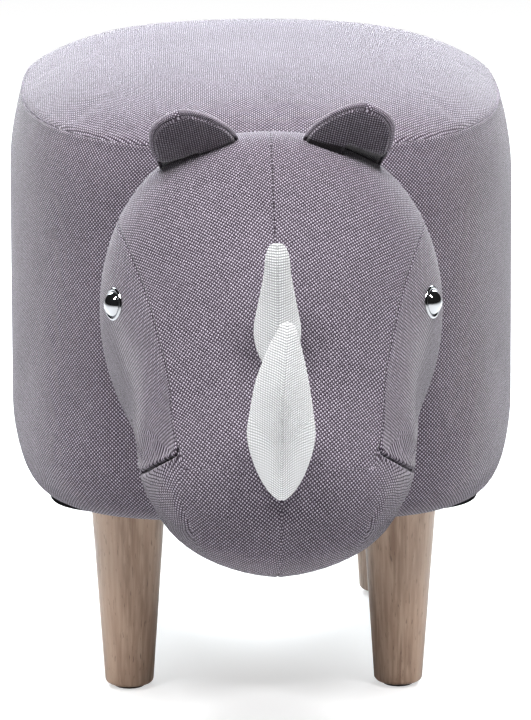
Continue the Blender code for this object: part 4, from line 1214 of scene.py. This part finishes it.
FRONT_HORN_SHARES = (
    (-0.115, -0.240, -0.275, 0.305, 0.77, 0.0036),
    (0.100, -0.270, -0.035, 0.325, 0.87, 0.0029),
    (0.265, -0.095, 0.085, 0.405, 1.02, 0.0023),
    (0.405, 0.155, 0.205, 0.525, 0.93, 0.0021),
    (0.495, 0.435, 0.315, 0.655, 0.777, 0.0022),
    (0.530, 0.690, 0.400, 0.790, 0.518, 0.0035),
    (0.530, 0.845, 0.455, 0.870, 0.32, 0.0046),
    (0.512, 0.908, 0.486, 0.915, 0.19, 0.0048),
    (0.500, 0.930, 0.500, 0.930, 0, 0.0050),
)
REAR_HORN_SHARES = (
    (-0.030, -0.490, -0.370, 0.250, 1.03, 0.0014),
    (0.185, -0.385, -0.155, 0.355, 0.92, 0.0014),
    (0.240, -0.145, -0.025, 0.390, 0.845, 0.0012),
    (0.290, 0.060, 0.045, 0.490, 0.73, 0.0011),
    (0.345, 0.455, 0.175, 0.655, 0.54, 0.0009),
    (0.385, 0.720, 0.300, 0.800, 0.46, 0.0007),
    (0.378, 0.866, 0.354, 0.873, 0.27, 0.0005),
    (0.370, 0.890, 0.370, 0.890, 0, 0.0005),
)
HORNS = (
    ("horn_front", 0.96, FRONT_HORN_SHARES, 1.6, 0.100, 0.0200),
    ("horn_rear", 0.70, REAR_HORN_SHARES, 1.8, 0.065, 0.0153),
)
HORN_COLUMNS = 144
HORN_STEPS = 60
HORN_TIP_ROWS = 6
HORN_SEAM_DEPTH = 0.0006
HORN_SEAM_ROLL = 0.2
HORN_SEAM_WIDTH = 0.0007
KNIT_COURSE = 0.00170
KNIT_LOOP = 0.8 * KNIT_COURSE
KNIT_ROW_STEP = 0.00040
KNIT_RELIEF = 0.00013
KNIT_LEAST_RELIEF = 0.4
KNIT_BUMP = 0.00030
CHEVRONS = {
    "horn_front": ((0, 0.0005), (0.30, 0.0085), (0.52, 0.0130), (0.70, 0.0085), (1, 0.0020)),
    "horn_rear": ((0, 0.0075), (0.45, 0.0050), (0.70, 0.0020), (1, 0.0010)),
}
CHEVRON_WIDTH = 0.0070
KNIT_FADE_HEIGHTS = (0.226, 0.252)
KNIT_FADE_WIDTHS = (0.0030, 0.0110)
KNIT_PAINTED_SHADE_HEIGHTS = (0.300, 0.330)
KNIT_CLEARNESS = (0.2, 0.8)
KNIT_PAINTED_SHADE_LEVELS = (0.35, 0.50)
KNIT_SPREAD = 0.35
KNIT_LOOP_SHARE = 0.60
KNIT_COLOURS = ((0.42, 0.42, 0.428), (0.93, 0.93, 0.942))

horn_knit, tree, shader = new_material(
    "horn_knit", 0.9, Sheen_Weight=0.25, Sheen_Roughness=0.5, Specular_IOR_Level=0.2
)
courses = new_node(tree, "SeparateXYZ", {0: uv_node(tree, "threads")})


def knit_wave(axis, length):
    """A wave from 0 to 1 along the courses or across them."""
    turn = math_node(tree, "MULTIPLY", courses[axis], 2 * math.pi / length)
    return math_node(tree, "MULTIPLY_ADD", math_node(tree, "COSINE", turn), 0.5, 0.5)


loops = knit_wave("X", KNIT_LOOP)
loops = math_node(tree, "MULTIPLY_ADD", loops, KNIT_LOOP_SHARE, 1 - KNIT_LOOP_SHARE)
knit_height = math_node(tree, "MULTIPLY", knit_wave("Y", KNIT_COURSE), loops)
horn_height = new_node(tree, "SeparateXYZ", {0: object_spots(tree)})["Z"]
high_up = spread_node(tree, horn_height, *KNIT_FADE_HEIGHTS, *KNIT_CLEARNESS)
by_the_seam = spread_node(tree, courses["X"], *KNIT_FADE_WIDTHS, 1, 0)
clearness = math_node(tree, "MAXIMUM", high_up, by_the_seam)
# Painted shade: from 0.30 m up the knit is drawn darker, which takes in the rear horn.
level = spread_node(tree, horn_height, *KNIT_PAINTED_SHADE_HEIGHTS, *KNIT_PAINTED_SHADE_LEVELS)
knit_height = math_node(tree, "SUBTRACT", knit_height, level)
knit_height = math_node(tree, "MULTIPLY", knit_height, clearness)
knit_light = spread_node(tree, knit_height, -KNIT_SPREAD, KNIT_SPREAD)
tree.links.new(mix_node(tree, "RGBA", knit_light, *KNIT_COLOURS), shader["Base Color"])
tree.links.new(bump_node(tree, knit_height, KNIT_BUMP), shader["Normal"])

for name, station, table, power, length, half_width in HORNS:
    root = head_point(station, 0)
    root.x = 0
    middle_rows = [smooth_row(table, share) for share in even_shares(HORN_STEPS)]
    spine = Path([
        Vector((0, -(row[0] + row[2]) / 2 * length, (row[1] + row[3]) / 2 * length))
        for row in middle_rows
    ])
    horn_rows = round(spine.length / KNIT_ROW_STEP)

    def horn_spot(column, row):
        index, rest = spine.step(spine.length * row / horn_rows)
        share = (index + rest) / HORN_STEPS
        front_out, front_up, rear_out, rear_up, width, beside = smooth_row(table, share)
        along, across = rounded_unit(turn_of(column, HORN_COLUMNS), power)
        out = (front_out + rear_out) / 2 + along * (front_out - rear_out) / 2
        up = (front_up + rear_up) / 2 + along * (front_up - rear_up) / 2
        across *= max(width, 0) * half_width
        return root + Vector((across + beside, -out * length, up * length))

    def horn_threads(column, row, cell=None):
        """The way round from the seam, and the height from which the courses drop to it."""
        spot, seam = horn_spot(column, row), horn_spot(0, row)
        beside = abs(spot.x - seam.x)
        marks = CHEVRONS[name]
        share = row / horn_rows
        after = next(index for index, mark in enumerate(marks) if index and mark[0] >= share)
        (low, first), (high, second) = marks[after - 1], marks[after]
        drop = first + (second - first) * (share - low) / (high - low)
        return beside, spot.z - drop * (1 - math.exp(-beside / CHEVRON_WIDTH))

    def horn_dent(column, row):
        """The ribs of the courses, and the seam down the front."""
        if row > horn_rows - HORN_TIP_ROWS:
            return 0
        beside, mark = horn_threads(column, row)
        low, high = KNIT_FADE_HEIGHTS
        risen = (horn_spot(column, row).z - low) / (high - low)
        relief = KNIT_RELIEF * clamped(risen, KNIT_LEAST_RELIEF, 1)
        rib = relief * math.cos(2 * math.pi * mark / KNIT_COURSE)
        if abs(column % HORN_COLUMNS - HORN_COLUMNS / 2) <= HORN_COLUMNS / 4:
            return rib
        return rib + seam_dent(beside, HORN_SEAM_DEPTH, HORN_SEAM_ROLL, HORN_SEAM_WIDTH)

    horn_mesh = dented(bent_grid(HORN_COLUMNS, horn_rows, horn_spot, horn_threads), horn_dent)
    loose = [edge for edge in horn_mesh.edges if edge.is_boundary]
    bmesh.ops.holes_fill(horn_mesh, edges=loose, sides=0)
    bmesh.ops.recalc_face_normals(horn_mesh, faces=horn_mesh.faces)
    horn = make_piece("knitted_" + name, horn_mesh, horn_knit, [name])
    cut_by(horn, head_cutter)


# Eyes: pressed and polished metal domes with a rolled rim, each on a stem that a washer holds
# behind the cheek cloth.

EYE_RADIUS = 0.0102
EYE_DOME_HEIGHT = 0.0062
EYE_DOME_FOOT = 0.0006
EYE_RIM_RADIUS = 0.0012
EYE_STEM_RADIUS = 0.0025
EYE_STEM_LENGTH = 0.0145
EYE_STEM_SEARCH = 2.1 * EYE_STEM_RADIUS
EYE_CAD_STEM = 0.0150
EYE_FACING = (0.883, -0.455, 0.114)
EYE_FACING_SHARE = 0.95
EYE_COLUMNS = 72
EYE_RIM_STEPS = 16
EYE_DOME_STEPS = 24
EYE_EDGE = math.radians(60)
EYE_METAL = (0.50, 0.51, 0.53, 1)
LATHE_MERGE_DISTANCE = 0.000005

polished, tree, shader = new_material("polished_metal", 0.05, 1.0)
shader["Base Color"].default_value = EYE_METAL


def lathe(profile, columns):
    """Turn a profile of (radius, height) points, which starts and ends on the axis, about Z."""
    solid = bmesh.new()
    spots = [solid.verts.new((radius, 0, height)) for radius, height in profile]
    edges = [solid.edges.new(pair) for pair in zip(spots, spots[1:])]
    bmesh.ops.spin(
        solid, geom=spots + edges, cent=(0, 0, 0), axis=(0, 0, 1), dvec=(0, 0, 0),
        angle=2 * math.pi, steps=columns, use_merge=True, use_duplicate=False,
    )
    bmesh.ops.remove_doubles(solid, verts=solid.verts, dist=LATHE_MERGE_DISTANCE)
    bmesh.ops.recalc_face_normals(solid, faces=solid.faces)
    return solid


dome_base = EYE_RADIUS - 2 * EYE_RIM_RADIUS
dome_rise = EYE_DOME_HEIGHT - EYE_DOME_FOOT
dome_radius = (dome_base ** 2 + dome_rise ** 2) / (2 * dome_rise)
dome_turn = math.asin(dome_base / dome_radius)
eye_profile = [
    (0, -EYE_STEM_LENGTH), (EYE_STEM_RADIUS, -EYE_STEM_LENGTH), (EYE_STEM_RADIUS, TOUCH_GAP)
]
for share in even_shares(EYE_RIM_STEPS):
    eye_profile.append((
        EYE_RADIUS - EYE_RIM_RADIUS + EYE_RIM_RADIUS * math.cos(math.pi * share),
        TOUCH_GAP + EYE_RIM_RADIUS * math.sin(math.pi * share),
    ))
for share in even_shares(EYE_DOME_STEPS)[1:]:
    turn = dome_turn * (1 - share)
    height = EYE_DOME_FOOT + dome_radius * (math.cos(turn) - math.cos(dome_turn))
    eye_profile.append((dome_radius * math.sin(turn), height))
eye_profile[-1] = (0, EYE_DOME_HEIGHT)

for side in ("left", "right"):
    spots = [vertex.co.copy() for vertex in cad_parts["eye_" + side].data.vertices]
    innermost = min(spots, key=lambda spot: abs(spot.x))
    stem_end = [spot for spot in spots if (spot - innermost).length < EYE_STEM_SEARCH]
    foot = sum(stem_end, Vector()) / len(stem_end)
    low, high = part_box("eye_washer_" + side)
    axis = ((low + high) / 2 - foot).normalized()
    centre = foot + axis * EYE_CAD_STEM
    facing = Vector(EYE_FACING) if side == "left" else Vector(EYE_FACING) * Vector((-1, 1, 1))
    axis = axis.lerp(facing, EYE_FACING_SHARE).normalized()
    across = Vector((0, 1, 0)).cross(axis).normalized()
    place = Matrix((across, axis.cross(across), axis)).transposed().to_4x4()
    place.translation = centre
    dome = lathe(eye_profile, EYE_COLUMNS)
    bmesh.ops.transform(dome, matrix=place, verts=dome.verts)
    make_piece("domed_eye_" + side, dome, polished, ["eye_" + side], sharp=EYE_EDGE)


# Tail: a short tube of the cover cloth, turned, stuffed to a round cord and closed at its end.
# It is sewn to the middle of the back, stands out a little and hangs down.

TAIL_HEIGHT = 0.318
TAIL_STAND_OFF = 0.020
TAIL_LENGTH = 0.105
TAIL_RADIUS = 0.0075
TAIL_SHARES = (
    (0.00, 0.00, 1.10),
    (0.30, 0.02, 1.05),
    (0.75, 0.12, 1.00),
    (0.92, 0.35, 0.92),
    (0.90, 0.65, 0.84),
    (0.88, 0.90, 0.78),
    (0.88, 0.98, 0.52),
    (0.88, 1.00, 0.0),
)
TAIL_COLUMNS = 32
TAIL_ROWS = 56
TAIL_LOOK = 0.01


def tail_middle(share):
    out, drop, radius = smooth_row(TAIL_SHARES, share)
    y = BODY_MIDDLE + BODY_LENGTH / 2 + out * TAIL_STAND_OFF
    return Vector((0, y, TAIL_HEIGHT - drop * TAIL_LENGTH)), max(radius, 0) * TAIL_RADIUS


def tail_point(column, row):
    share = clamped((row - 1) / (TAIL_ROWS - 1))
    middle, radius = tail_middle(share)
    run = (tail_middle(share + TAIL_LOOK)[0] - tail_middle(share - TAIL_LOOK)[0]).normalized()
    outward = Vector((1, 0, 0)).cross(run)
    angle = turn_of(column, TAIL_COLUMNS)
    spot = middle + (Vector((1, 0, 0)) * math.cos(angle) + outward * math.sin(angle)) * radius
    back = 2 * BODY_MIDDLE - body_front(spot.x, spot.z) + TOUCH_GAP
    if row < 2:
        spot = (middle if row == 0 else spot).copy()
        spot.y = back
    spot.y = max(spot.y, back)
    return spot


def tail_threads(column, row, cell):
    return TAIL_RADIUS * 2 * math.pi * column / TAIL_COLUMNS, TAIL_LENGTH * row / TAIL_ROWS


tail_mesh = bent_grid(TAIL_COLUMNS, TAIL_ROWS, tail_point, tail_threads)
tail = make_piece("padded_tail", tail_mesh, cover_cloth, ["tail"])


# Dust cover: thin black spun cloth stapled over the underside, its edge folded under. At the front
# corners its lower face is drawn lower and further out, so that it shows as a dark line below the
# seat.

DUST_INSET = 0.0300
DUST_TOP = 0.1327
DUST_THICKNESS = 0.0006
DUST_CORNER_DROP = 0.0014
DUST_CORNER_REACH = 0.0128
DUST_CORNER_TURN = math.radians(126)
DUST_CORNER_WIDTH = math.radians(13)
DUST_OUTWARD_SHARE = 0.9
DUST_DROP_SHARE = 0.6
DUST_RINGS = (0, 0.2, 0.4, 0.6, 0.8, 0.9, 0.96, 1.0)
DUST_COLUMNS = 240
DUST_FIBRE_SCALE = 900
DUST_RELIEF = 0.0002
DUST_COLOURS = ((0.008, 0.008, 0.008), (0.035, 0.033, 0.035))

dust_cloth, tree, shader = new_material("dust_cloth", 0.9, Specular_IOR_Level=0.3)
fibres = noise_node(tree, object_spots(tree), DUST_FIBRE_SCALE, 4)
tree.links.new(mix_node(tree, "RGBA", fibres, *DUST_COLOURS), shader["Base Color"])
tree.links.new(bump_node(tree, fibres, DUST_RELIEF), shader["Normal"])


def dust_point(column, row):
    """A point of the flat cloth: its upper face by rings outwards, then its lower one back."""
    rings = len(DUST_RINGS)
    turn = turn_of(column, DUST_COLUMNS)
    ring = DUST_RINGS[row] if row < rings else DUST_RINGS[2 * rings - 1 - row]
    from_back = min(turn, 2 * math.pi - turn)
    # Near the front corners the lower face is drawn lower and further out, so that it shows as a
    # dark line below the seat.
    corner = math.exp(-((from_back - DUST_CORNER_TURN) / DUST_CORNER_WIDTH) ** 2)
    loose = corner * clamped((ring - DUST_OUTWARD_SHARE) / (1 - DUST_OUTWARD_SHARE)) * (row >= rings)
    edge = body_point(turn, DUST_INSET - DUST_CORNER_REACH * loose, UNDERSIDE_HEIGHT)
    flat = Vector((0, BODY_MIDDLE)).lerp(edge.xy, ring)
    height = DUST_TOP if row < rings else DUST_TOP - DUST_THICKNESS
    if row >= rings:
        height -= DUST_CORNER_DROP * corner * clamped((ring - DUST_DROP_SHARE) / (1 - DUST_DROP_SHARE)) ** 2
    return Vector((flat.x, flat.y, height))


dust_mesh = bent_grid(
    DUST_COLUMNS, 2 * len(DUST_RINGS) - 1, dust_point, lambda column, row, cell: (0, 0)
)
make_piece("dust_cloth_panel", dust_mesh, dust_cloth, ["dust_cover"])


# Legs: turned from solid beech, tapered, sanded and clear lacquered, each screwed up into the
# base board on a hanger bolt.

LEG_SPREAD_ACROSS = 0.178
LEG_SPREAD_ALONG = 0.211
LEG_TOP_RADIUS = 0.0250
LEG_FOOT_RADIUS = 0.0160
LEG_FOOT_CORNER_RADIUS = 0.0030
LEG_BOTTOM = 0.0023
LEG_TOP = 0.1342
LEG_BORE_DEPTH = 0.042
LEG_BORE_RADIUS = 0.0043
LEG_COLUMNS = 96
LEG_FOOT_STEPS = 8
LEG_EDGE = math.radians(40)
BEECH_GRAINS = (
    ((1, 1, 0.09), 85, 4),
    ((1, 1, 0.035), 420, 3),
    ((1, 1, 0.12), 950, 2),
)
BEECH_COLOURS = {
    "dark_band": (0.252, 0.145, 0.092),
    "light_band": (0.450, 0.296, 0.209),
    "streak": (0.500, 0.348, 0.251),
    "fleck": (0.13, 0.070, 0.045),
}
BEECH_BAND_EDGES = (0.32, 0.68)
BEECH_STREAKS = (0.35, 0.72)
BEECH_FLECKS = (0.62, 0.74, 0, 0.75)
BEECH_ROUGHNESS = (0.3, 0.7, 0.36, 0.50)
BEECH_RELIEF = (0.0001, 0.5)


def make_grain_group():
    """Wood grain: noise on the piece, drawn out along the wood."""
    tree, given, result = new_group(
        "wood_grain",
        {"Spots": "Vector", "Stretch": "Vector", "Scale": "Float", "Detail": "Float"},
        {"Streaks": "Float"},
    )
    spots = vector_node(tree, "MULTIPLY", given["Spots"], given["Stretch"])
    streaks = noise_node(tree, spots, given["Scale"], given["Detail"])
    tree.links.new(streaks, result["Streaks"])
    return tree


grain_group = make_grain_group()


def grain_node(tree, stretch, scale, detail):
    inputs = {
        "Spots": object_spots(tree), "Stretch": stretch, "Scale": scale, "Detail": detail
    }
    return new_node(tree, "Group", inputs, node_tree=grain_group)[0]


beech, tree, shader = new_material("beech_wood", 0.42, Coat_Weight=0.12, Coat_Roughness=0.35)
bands, fine, flecks = (grain_node(tree, *grain) for grain in BEECH_GRAINS)
beech_colour = mix_node(
    tree, "RGBA", spread_node(tree, bands, *BEECH_BAND_EDGES),
    BEECH_COLOURS["dark_band"], BEECH_COLOURS["light_band"],
)
for seen, colour in (
    (spread_node(tree, fine, *BEECH_STREAKS), "streak"),
    (spread_node(tree, flecks, *BEECH_FLECKS), "fleck"),
):
    beech_colour = mix_node(tree, "RGBA", seen, beech_colour, BEECH_COLOURS[colour])
tree.links.new(beech_colour, shader["Base Color"])
tree.links.new(spread_node(tree, fine, *BEECH_ROUGHNESS), shader["Roughness"])
tree.links.new(bump_node(tree, flecks, *BEECH_RELIEF), shader["Normal"])

leg_profile = [(0, LEG_BOTTOM)]
for share in even_shares(LEG_FOOT_STEPS):
    turn = math.pi / 2 * share
    radius = LEG_FOOT_RADIUS - LEG_FOOT_CORNER_RADIUS * (1 - math.sin(turn))
    leg_profile.append((radius, LEG_BOTTOM + LEG_FOOT_CORNER_RADIUS * (1 - math.cos(turn))))
leg_profile += [
    (LEG_TOP_RADIUS, LEG_TOP), (LEG_BORE_RADIUS, LEG_TOP),
    (LEG_BORE_RADIUS, LEG_TOP - LEG_BORE_DEPTH), (0, LEG_TOP - LEG_BORE_DEPTH),
]
for corner, side, end in (
    ("front_left", 1, -1), ("front_right", -1, -1), ("rear_left", 1, 1), ("rear_right", -1, 1)
):
    turned_leg = lathe(leg_profile, LEG_COLUMNS)
    spot = (side * LEG_SPREAD_ACROSS / 2, BODY_MIDDLE + end * LEG_SPREAD_ALONG / 2, 0)
    bmesh.ops.translate(turned_leg, vec=spot, verts=turned_leg.verts)
    make_piece(
        "beech_leg_" + corner, turned_leg, beech, ["leg_" + corner], sharp=LEG_EDGE
    )


# Frame and fastenings inside the seat: plywood boards, pine posts, a bent fibreboard band,
# zinc-plated screws, bolts and nuts, nylon washers and plastic glides.

BOARDS = {
    "plywood_board": ((0.66, 0.50, 0.32), (0.42, 0.28, 0.15), 60, (0.15, 1, 1)),
    "pine_post": ((0.76, 0.59, 0.37), (0.55, 0.37, 0.18), 90, (1, 1, 0.08)),
    "fibreboard_band": ((0.36, 0.26, 0.18), (0.26, 0.18, 0.12), 500, (1, 1, 1)),
}
BOARD_ROUGHNESS = 0.7
STREAK_EDGES = (0.3, 0.7)
VENEER = 0.0015
VENEER_EDGES = (-0.2, 0.2, 0, 0.35)
PLAIN_FINISHES = {
    "zinc_plate": ((0.62, 0.61, 0.56), 0.32, 1),
    "nylon_washer": ((0.80, 0.80, 0.78), 0.4, 0),
    "glide_plastic": ((0.10, 0.085, 0.075), 0.5, 0),
}
PATCH_SCALE = 300
PATCH_DEPTH = 0.1
FINISHED_NODES = {
    "plywood_board": ("base_board", "seat_board"),
    "pine_post": ("frame_post",),
    "fibreboard_band": ("wall_board",),
    "zinc_plate": ("post_screw", "hanger_bolt", "tee_nut"),
    "nylon_washer": ("eye_washer",),
    "glide_plastic": ("glide",),
}

finishes = {}
for finish, (light, dark, scale, stretch) in BOARDS.items():
    finishes[finish], tree, shader = new_material(finish, BOARD_ROUGHNESS)
    streaks = grain_node(tree, stretch, scale, 4)
    grain = mix_node(tree, "RGBA", spread_node(tree, streaks, *STREAK_EDGES), dark, light)
    if finish == "plywood_board":
        height = new_node(tree, "SeparateXYZ", {0: object_spots(tree)})["Z"]
        layer = math_node(tree, "MULTIPLY", height, math.pi / VENEER)
        seen = spread_node(tree, math_node(tree, "COSINE", layer), *VENEER_EDGES)
        grain = mix_node(tree, "RGBA", seen, grain, dark)
    tree.links.new(grain, shader["Base Color"])


def make_patchy_group():
    """A plain finish whose colour varies a little over the piece."""
    tree, given, result = new_group(
        "patchy_colour", {"Spots": "Vector", "Light": "Color", "Dark": "Color"},
        {"Colour": "Color"},
    )
    cloud = noise_node(tree, given["Spots"], PATCH_SCALE, 3)
    tree.links.new(mix_node(tree, "RGBA", cloud, given["Dark"], given["Light"]), result["Colour"])
    return tree


patchy_group = make_patchy_group()
for finish, (light, roughness, metallic) in PLAIN_FINISHES.items():
    finishes[finish], tree, shader = new_material(finish, roughness, metallic)
    dark = tuple(part * (1 - PATCH_DEPTH) for part in light)
    inputs = {"Spots": object_spots(tree), "Light": light, "Dark": dark}
    patches = new_node(tree, "Group", inputs, node_tree=patchy_group)
    tree.links.new(patches["Colour"], shader["Base Color"])

for finish, starts in FINISHED_NODES.items():
    for name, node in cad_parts.items():
        if name.startswith(starts):
            node.data.materials.clear()
            node.data.materials.append(finishes[finish])


# Studio: a pale floor that runs on past the picture, a wide soft light overhead and a little
# behind, a softbox behind the seat, two narrow ones high in front, and the photograph's camera.

FLOOR_SIZE = 60
CAMERA_PITCH = math.radians(14.1)
CAMERA_TURN = math.radians(1.6)
CAMERA_PLACE = (-0.08724, -3.16412, 1.01532)
CAMERA_LENS = 250
CAMERA_SENSOR = 36
CAMERA_REACH = 100
SUN_POWER = 1.0
SUN_WIDTH = math.radians(80)
SUN_TILT = math.radians(-4)
SOFTBOXES = (
    ("left_strip", (-0.85, -1.05, 2.65), (0.20, 1.2), 74, (0, -0.1, 0.28), (1, 1, 1)),
    ("right_strip", (0.85, -1.05, 2.65), (0.20, 1.2), 74, (0, -0.1, 0.28), (1, 1, 1)),
    ("rear_softbox", (0, 1.60, 1.15), (1.8, 0.7), 118, (0, 0.12, 0.40), (0.89, 0.965, 1)),
)
WORLD_STRENGTH = 0.025
FLOOR_COLOURS = {"to_the_stool": (0.64, 0.64, 0.64), "to_the_camera": (0.55, 0.55, 0.55)}
FLOOR_GLOW = 0.62

floor_mesh = bmesh.new()
bmesh.ops.create_grid(floor_mesh, x_segments=1, y_segments=1, size=FLOOR_SIZE / 2)
floor_data = bpy.data.meshes.new("floor")
floor_mesh.to_mesh(floor_data)
floor_mesh.free()
pale, tree, shader = new_material("pale_floor", 0.8, Specular_IOR_Level=0.1)
ray = new_node(tree, "LightPath", {})["Is Camera Ray"]
tree.links.new(mix_node(tree, "RGBA", ray, *FLOOR_COLOURS.values()), shader["Base Color"])
shader["Emission Color"].default_value = (1, 1, 1, 1)
tree.links.new(math_node(tree, "MULTIPLY", ray, FLOOR_GLOW), shader["Emission Strength"])
floor_data.materials.append(pale)
floor = shown("floor", floor_data)

overhead = bpy.data.lights.new("overhead", "SUN")
overhead.energy = SUN_POWER
overhead.angle = SUN_WIDTH
sun = shown("overhead", overhead)
sun.rotation_euler = (SUN_TILT, 0, 0)
sun.visible_glossy = False
for name, place, size, power, target, tint in SOFTBOXES:
    lamp = bpy.data.lights.new(name, "AREA")
    lamp.shape = "RECTANGLE"
    lamp.size, lamp.size_y = size
    lamp.energy = power
    lamp.color = tint
    light = shown(name, lamp)
    light.location = place
    light.rotation_euler = (Vector(target) - Vector(place)).to_track_quat("-Z", "Y").to_euler()

world = bpy.data.worlds.new("studio")
world.use_nodes = True
sky = world.node_tree.nodes["Background"].inputs
sky["Color"].default_value = (1, 1, 1, 1)
sky["Strength"].default_value = WORLD_STRENGTH
bpy.context.scene.world = world
bpy.context.scene.view_settings.view_transform = "Standard"

camera_data = bpy.data.cameras.new("camera")
camera_data.lens = CAMERA_LENS
camera_data.sensor_width = CAMERA_SENSOR
camera_data.clip_end = CAMERA_REACH
camera = shown("camera", camera_data)
camera.location = CAMERA_PLACE
camera.rotation_euler = (math.pi / 2 - CAMERA_PITCH, 0, -CAMERA_TURN)
bpy.context.scene.camera = camera
